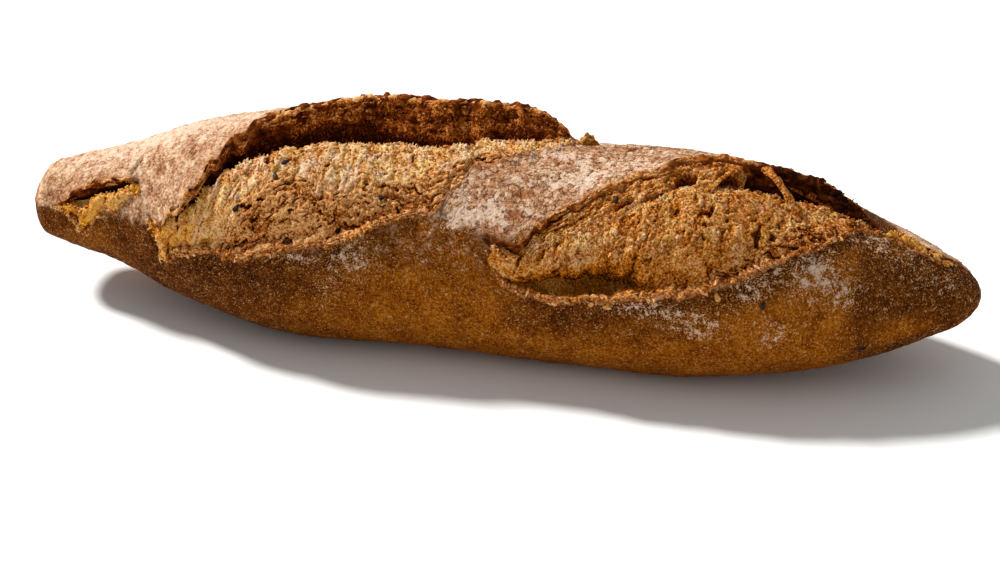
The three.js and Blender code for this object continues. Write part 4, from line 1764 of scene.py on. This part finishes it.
@dataclass
class Strands(Piece):
    """The strands that span the wide tear.

    Attributes:
        form: the loaf's form.
        strands: each strand.
        flare: how much thicker a strand is at its ends.
        lumps: how lumpy it is.
        flat: its width and its thickness, as shares of its girth.
        finish: the crumb's finish.
    """

    form: LoafForm
    strands: tuple[Strand, ...] = (
        Strand(78, 0.05, 69, 0.5, 1.2, 0.5),
        Strand(84, 0.03, 99, 0.7, 3.2, 0.6),
        Strand(88, 0.1, 95, 0.52, 1, 0.5),
    )
    flare: float = 1.6
    lumps: float = 0.45
    flat: tuple[float, float] = (1.5, 0.5)
    finish: TornCrumb = TornCrumb()

    def build(self) -> bpy.types.Object:
        """Draws a ball out along each strand and joins them.

        Returns:
            All the strands as one piece.
        """
        piece = joined([self._strand(strand) for strand in self.strands], "torn_strands")
        rough = self.form.noise.rough(points_of(piece) / 1.5, 2)
        even = np.ones_like(rough)
        keep(piece, height=0.5 + 0.4 * rough, toast=even, strip=0.4 * even, damp=0 * even)
        return piece

    def _strand(self, strand: Strand) -> bpy.types.Object:
        """Draws a ball out along one strand.

        Args:
            strand: the strand.

        Returns:
            The strand's piece.
        """
        bpy.ops.object.select_all(action="DESELECT")
        bpy.ops.mesh.primitive_uv_sphere_add(segments=20, ring_count=64, radius=1)
        piece = named("strand")
        ball = points_of(piece) * MM
        ends = self.form.place(
            np.array([strand.ear_x, strand.crumb_x], float),
            np.full(2, WIDE_TEAR.span),
            np.array([strand.ear_share, strand.crumb_share]),
        )
        start, end = ends.point
        out = np.append(0, self.form.outward(ends.point[:1, 0], ends.angle[1:])[0])
        along = 0.5 + np.arcsin(np.clip(ball[:, 2], -1, 1)) / np.pi
        t = along[:, None]
        middle = start + (end - start) * t + 4 * strand.rise * t * (1 - t) * out
        chord = (end - start) / np.linalg.norm(end - start)
        side = np.cross(chord, out)
        flare = strand.girth * (1 + self.flare * np.square(2 * along - 1))
        lumpy = flare * (1 + self.lumps * self.form.noise.rough(middle / 1.6 + ball, 3))
        round_x, round_y = ball[:, 0:1], ball[:, 1:2]
        around = np.maximum(np.hypot(round_x, round_y), 1e-6)
        taper = np.minimum(around * 4, 1)
        broad, thin = self.flat
        ring = (broad * side * round_x + thin * np.cross(side, chord) * round_y) / around * taper
        move(piece, middle + lumpy[:, None] * ring)
        return piece


class SeedKind(Enum):
    """The seeds in the dough."""

    FLAX = "flax"
    SESAME = "sesame"


@dataclass(frozen=True)
class SeedCoat:
    """A seed's coat: smooth and slightly glossy, blotched darker and lighter.

    Attributes:
        name: what it is.
        dark: its colour in its darker blotches.
        light: its colour in its lighter blotches.
        roughness: how matte it is.
        blotch: size of its blotches.
    """

    name: str
    dark: str
    light: str
    roughness: float
    blotch: float = 1.1

    def dress(self, piece: bpy.types.Object) -> None:
        """Gives a piece this finish.

        Args:
            piece: the piece.
        """
        tree, shader = material_on(piece, self.name)
        place = add(tree, "TexCoord", out="Object")
        blotch = add(tree, "TexNoise", {"Vector": place, "Scale": per_metre(self.blotch), "Detail": 3})
        colour = add(tree, "ValToRGB", {"Fac": blotch}, stops=((0.35, self.dark), (0.65, self.light)))
        tree.links.new(colour, shader.inputs["Base Color"])
        shader.inputs["Roughness"].default_value = self.roughness
        shader.inputs["Specular IOR Level"].default_value = 0.08


@dataclass(frozen=True)
class Spot:
    """Where a seed lies.

    Attributes:
        x: its place along the loaf.
        angle: its place around the loaf.
        heading: how far it is turned on the surface, in degrees.
    """

    x: float
    angle: float
    heading: float


@dataclass
class Seeds(Piece):
    """Seeds of one kind, baked into the loaf.

    Attributes:
        form: the loaf's form.
        kind: which seeds they are.
        spots: where they lie.
        size: a seed's length, width and thickness, in millimetres.
        finish: the seeds' coat.
        taper: how far a seed narrows toward its tip.
        proud: how far its middle stands out of the surface, as a share of its thickness.
        above: how far over the loaf its place is looked for from, in millimetres.
    """

    form: LoafForm
    kind: SeedKind
    spots: tuple[Spot, ...]
    size: tuple[float, float, float]
    finish: SeedCoat
    taper: float = 0.55
    proud: float = 0.1
    above: float = 25

    def build(self, carriers: Sequence[bpy.types.Object]) -> bpy.types.Object:
        """Models a seed and sets copies of it into the surface.

        Args:
            carriers: the pieces that the seeds lie on.

        Returns:
            All the seeds as one piece.
        """
        view = bpy.context.evaluated_depsgraph_get()
        trees = [BVHTree.FromObject(carrier, view) for carrier in carriers]
        return joined([self._seed(spot, trees) for spot in self.spots], f"{self.kind.value}_seeds")

    def _seed(self, spot: Spot, trees: Sequence[BVHTree]) -> bpy.types.Object:
        """Models one seed and sets it into the surface.

        Args:
            spot: where it lies.
            trees: the surfaces of what carries it.

        Returns:
            The seed's piece.
        """
        bpy.ops.object.select_all(action="DESELECT")
        bpy.ops.mesh.primitive_uv_sphere_add(segments=14, ring_count=10, radius=0.5)
        piece = named("seed")
        shape = points_of(piece) * MM * self.size
        shape[:, 1:] *= 1 - self.taper * shape[:, :1] / self.size[0]
        x, angle = np.array([spot.x]), np.array([spot.angle])
        out = Vector((0, *self.form.outward(x, angle)[0]))
        above = Vector((spot.x, *self.form.section(x, angle)[0])) + self.above * out
        hits = [tree.ray_cast(above * MM, -out) for tree in trees]
        place, normal = min((hit for hit in hits if hit[0]), key=lambda hit: hit[3])[:2]
        turn, along = math.radians(spot.heading), Vector((1, 0, 0))
        ahead = math.cos(turn) * along + math.sin(turn) * out.cross(along)
        lying = (normal.normalized() + out).normalized()
        side = lying.cross(ahead).normalized()
        frame_rows = np.array([side.cross(lying), side, lying])
        stands = self.proud * self.size[2] * np.array(lying)
        move(piece, shape @ frame_rows + np.array(place) / MM + stands)
        return piece


FLAX_COAT = SeedCoat("glossy flax seed coat", dark="#170d09", light="#42322a", roughness=0.45)
SESAME_COAT = SeedCoat("toasted sesame seed coat", dark="#a8661e", light="#e0b060", roughness=0.5)

FLAX_SPOTS = (
    Spot(-77, 56, 60), Spot(-32, 41, 20), Spot(42, 30, 100), Spot(91, 76, 80), Spot(121, 109, 10),
    Spot(-64, 30, 45), Spot(-66, 38, 110), Spot(-60, -70, 30), Spot(35, -62, 120), Spot(88, -80, 60),
)
SESAME_SPOTS = (
    Spot(-67, 34, 70), Spot(77, 73, 115), Spot(43, 84, 175), Spot(-24, 26, 130), Spot(60, 46, 20),
    Spot(-50, 18, 10), Spot(-20, -75, 80), Spot(10, -58, 20), Spot(70, -66, 150), Spot(-95, -60, 40),
)


@dataclass
class Crag(Piece):
    """The crag of crumb that stands up at the end of the tall ear.

    Attributes:
        form: the loaf's form.
        x: its place along the loaf.
        angle: its place around the loaf.
        size: its length, width and height, in millimetres.
        taper: how far it narrows toward its top.
        rough: how far its surface is broken up, in millimetres.
        clod: size of the clods that it is broken into, in millimetres.
        finish: the crumb's finish.
    """

    form: LoafForm
    x: float = 26.5
    angle: float = -19
    size: tuple[float, float, float] = (7, 4, 9)
    taper: float = 0.9
    rough: float = 2.2
    clod: float = 1.6
    finish: TornCrumb = TornCrumb()

    def build(self) -> bpy.types.Object:
        """Models the crag as a broken-up lump, half sunk in the crust.

        Returns:
            The crag.
        """
        bpy.ops.object.select_all(action="DESELECT")
        bpy.ops.mesh.primitive_ico_sphere_add(subdivisions=4, radius=0.5)
        piece = named("crumb_crag")
        shape = points_of(piece) * MM * self.size
        shape[:, :2] *= 1 - self.taper * np.clip(shape[:, 2:] / self.size[2], 0, 1)
        place = np.append(self.x, self.form.section(np.array([self.x]), np.array([self.angle]))[0])
        move(piece, shape + place)
        broken = bpy.data.textures.new("broken crumb", "CLOUDS")
        broken.noise_scale = self.clod * MM
        torn = piece.modifiers.new("torn", "DISPLACE")
        torn.texture = broken
        torn.texture_coords = "GLOBAL"
        torn.strength = self.rough * MM
        bpy.ops.object.modifier_apply(modifier=torn.name)
        bpy.ops.object.shade_smooth()
        rise = self.form.noise.rough(points_of(piece) / 1.4, 2)
        even = np.ones_like(rise)
        keep(piece, height=0.45 + 0.35 * rise, toast=0.8 * even, strip=0 * even, damp=0 * even)
        return piece


@dataclass
class Studio:
    """The plain pale floor, the soft light and the camera.

    Attributes:
        elevation: the camera's height over the table, in degrees.
        azimuth: how far it stands to the nose's side, in degrees.
        distance: how far away it stands, in metres.
        lens: its focal length, in millimetres.
        sensor: its sensor's width, in millimetres.
        near: the nearest that it sees, in metres.
        aim: the point in the middle of its view, in metres.
        floor_size: the floor's width, in metres.
        paper: the floor's colour.
        sky: strength of the light from all around.
        sun: strength of the main light.
        sun_width: how soft the main light is, as its width in degrees.
        sun_from: the direction that it comes from.
    """

    elevation: float = 30
    azimuth: float = 12.5
    distance: float = 1.1
    lens: float = 122.8
    sensor: float = 36
    near: float = 0.01
    aim: tuple[float, float, float] = (0.0013, -0.003, 0.0151)
    floor_size: float = 6
    paper: str = "#f6f5f2"
    sky: float = 0.4
    sun: float = 4.6
    sun_width: float = 8
    sun_from: tuple[float, float, float] = (-0.68, 0.26, 0.68)

    def build(self) -> None:
        """Sets up the floor, the lights and the camera."""
        bpy.ops.object.select_all(action="DESELECT")
        bpy.ops.mesh.primitive_plane_add(size=self.floor_size)
        floor = named("floor")
        shader = material_on(floor, "matte white paper")[1]
        shader.inputs["Base Color"].default_value = linear(self.paper)
        shader.inputs["Roughness"].default_value = 0.9

        world = bpy.data.worlds.new("studio")
        world.use_nodes = True
        around = world.node_tree.nodes["Background"]
        around.inputs["Color"].default_value = (1, 1, 1, 1)
        around.inputs["Strength"].default_value = self.sky
        bpy.context.scene.world = world
        bpy.context.scene.view_settings.view_transform = "Standard"

        bpy.ops.object.light_add(type="SUN")
        sun = bpy.context.object
        sun.data.energy = self.sun
        sun.data.angle = math.radians(self.sun_width)
        sun.rotation_euler = Vector(self.sun_from).to_track_quat("Z", "Y").to_euler()

        turn, lift = math.radians(self.azimuth), math.radians(self.elevation)
        back = Vector((math.sin(turn) * math.cos(lift), -math.cos(turn) * math.cos(lift), math.sin(lift)))
        bpy.ops.object.camera_add(location=Vector(self.aim) + self.distance * back)
        camera = bpy.context.object
        camera.rotation_euler = back.to_track_quat("Z", "Y").to_euler()
        camera.data.lens = self.lens
        camera.data.sensor_width = self.sensor
        camera.data.clip_start = self.near
        bpy.context.scene.camera = camera


def settled(part: Piece, piece: bpy.types.Object) -> bpy.types.Object:
    """Dresses a piece that has just been built, and reports it.

    Args:
        part: what built the piece.
        piece: the piece.

    Returns:
        The piece.
    """
    part.dress(piece)
    log.info("%s: %d faces", piece.name, len(piece.data.polygons))
    return piece


def torn_crumbs(form: LoafForm) -> tuple[Crumb, ...]:
    """The open crumb in each tear, from the tail to the nose.

    Args:
        form: the loaf's form.

    Returns:
        The crumbs, and the web in the wide tear.
    """
    return (
        Crumb(
            form, TAIL_TEAR, "tail_crumb", widest=18, shag=1.5,
            glow=((-155, 0.17), (155, 0.17)),
            gold=((-155, 1), (155, 1)),
        ),
        Crumb(
            form, LONG_TEAR, "long_crumb", widest=46, toast=0.4,
            glow=((-155, 0.1), (155, 0.1)),
            gold=((-110, 1), (-98, 0.9), (-86, 0.4), (-74, 0), (25, 0)),
            strip=(
                (-110, 2), (-84, 1), (-75, 0.55), (-48, 0.62), (-30, 0.66), (-16, 0.6), (-6, 0.64), (8, 0.85),
                (25, 2),
            ),
        ),
        Crumb(
            form, WIDE_TEAR, "wide_crumb", widest=44, toast=1, shag=0.85, mild=0.9, dip=7,
            glow=((-3, 0.04), (9, 0.06), (20, -0.02), (32, -0.06), (125, -0.06)),
            gold=((-3, 0.5), (12, 0.5), (26, 0.3), (38, 0), (125, 0)),
            strip=((-3, 2), (60, 2), (72, 1), (84, 0.84), (98, 0.66), (112, 0.48), (125, 0.3)),
        ),
        Web(form, WIDE_TEAR, "wide_web", widest=14, reach=(0.06, 0.52)),
        Crumb(
            form, NOSE_TEAR, "nose_crumb", widest=8, shag=1.6, toast=0.8,
            glow=((-155, 0.08), (155, 0.08)),
            gold=((-155, 0.85), (155, 0.85)),
        ),
    )


def torn_edges(form: LoafForm) -> tuple[Fringe, ...]:
    """The ragged edges of the tears, from the tail to the nose.

    Args:
        form: the loaf's form.

    Returns:
        The fringes.
    """
    upper, lower = Lip.UPPER, Lip.LOWER
    return (
        Fringe(
            form, TAIL_TEAR, "tail_ear_fringe", widest=4, lip=upper, span=(-146, -112),
            inside=0.05, lap=0.015, rag=0.4, crusty=0.6,
        ),
        Fringe(
            form, TAIL_TEAR, "tail_lip_fringe", widest=3, lip=lower, span=(-145, -113),
            inside=0.04, lap=0.03, crusty=0.2,
        ),
        Fringe(
            form, LONG_TEAR, "flap_fringe", widest=14, lip=upper, span=(-107, -58),
            inside=0.27, lap=0.02, turn=0.1, crusty=0.8, shade=0.06, plies=6, bright=0.25,
        ),
        Fringe(
            form, LONG_TEAR, "long_ear_fringe", widest=16, lip=upper, span=(-66, 24),
            inside=0.27, lap=0.06, turn=0.12, crusty=0.9, shade=0.22, plies=7, bright=0.55,
        ),
        Fringe(
            form, LONG_TEAR, "long_lip_fringe", widest=4, lip=lower, span=(-104, -6),
            inside=0.03, lap=0.03, rag=1.4, broken=1,
        ),
        Fringe(
            form, WIDE_TEAR, "wide_ear_fringe", widest=4, lip=upper, span=(16, 86),
            inside=0.04, lap=0.04, rag=0.6, crusty=0.4, bright=0.1,
        ),
        Fringe(
            form, WIDE_TEAR, "nose_ear_fringe", widest=2.5, lip=upper, span=(80, 123),
            inside=0.012, lap=0.02, rag=0.35, crusty=1, shade=0.2, bright=-0.2,
        ),
        Fringe(
            form, WIDE_TEAR, "wide_lip_fringe", widest=6, lip=lower, span=(13, 72),
            inside=0.04, lap=0.08, rag=1.1, crusty=0.3, plies=5, bright=-0.02, broken=1.3,
        ),
    )


def main() -> None:
    """Builds the loaf, its crumb, its seeds and the studio, in order."""
    logging.basicConfig(level=logging.INFO, format="%(message)s")
    form = LoafForm()
    loaf = Loaf(form)
    body = settled(loaf, loaf.build())
    crumbs = [settled(crumb, crumb.build()) for crumb in torn_crumbs(form)]
    fringes = [settled(fringe, fringe.build()) for fringe in torn_edges(form)]
    for strewn in (
        Strewn(
            Bit.GRAIN, "crumb_grains", on_crumb=3000, on_lips=350,
            length=(0.25, 0.6), girth=(0.2, 0.5), seed=5,
        ),
        Strewn(
            Bit.SHRED, "crumb_shreds", on_crumb=1200, on_lips=300,
            length=(0.4, 1.0), girth=(0.18, 0.38), seed=6,
        ),
        Strewn(
            Bit.FLAKE, "crust_flakes", on_crumb=120, on_lips=300,
            length=(0.25, 0.5), girth=(0.4, 1.3), seed=7,
        ),
    ):
        settled(strewn, strewn.build(body, crumbs))
    for part in (Strands(form), Crag(form)):
        settled(part, part.build())
    for seeds in (
        Seeds(form, SeedKind.FLAX, FLAX_SPOTS, size=(3.0, 1.6, 1.0), finish=FLAX_COAT),
        Seeds(form, SeedKind.SESAME, SESAME_SPOTS, size=(3.0, 1.8, 1.0), finish=SESAME_COAT),
    ):
        settled(seeds, seeds.build([body, *crumbs, *fringes]))
    Studio().build()


if __name__ == "__main__":
    main()
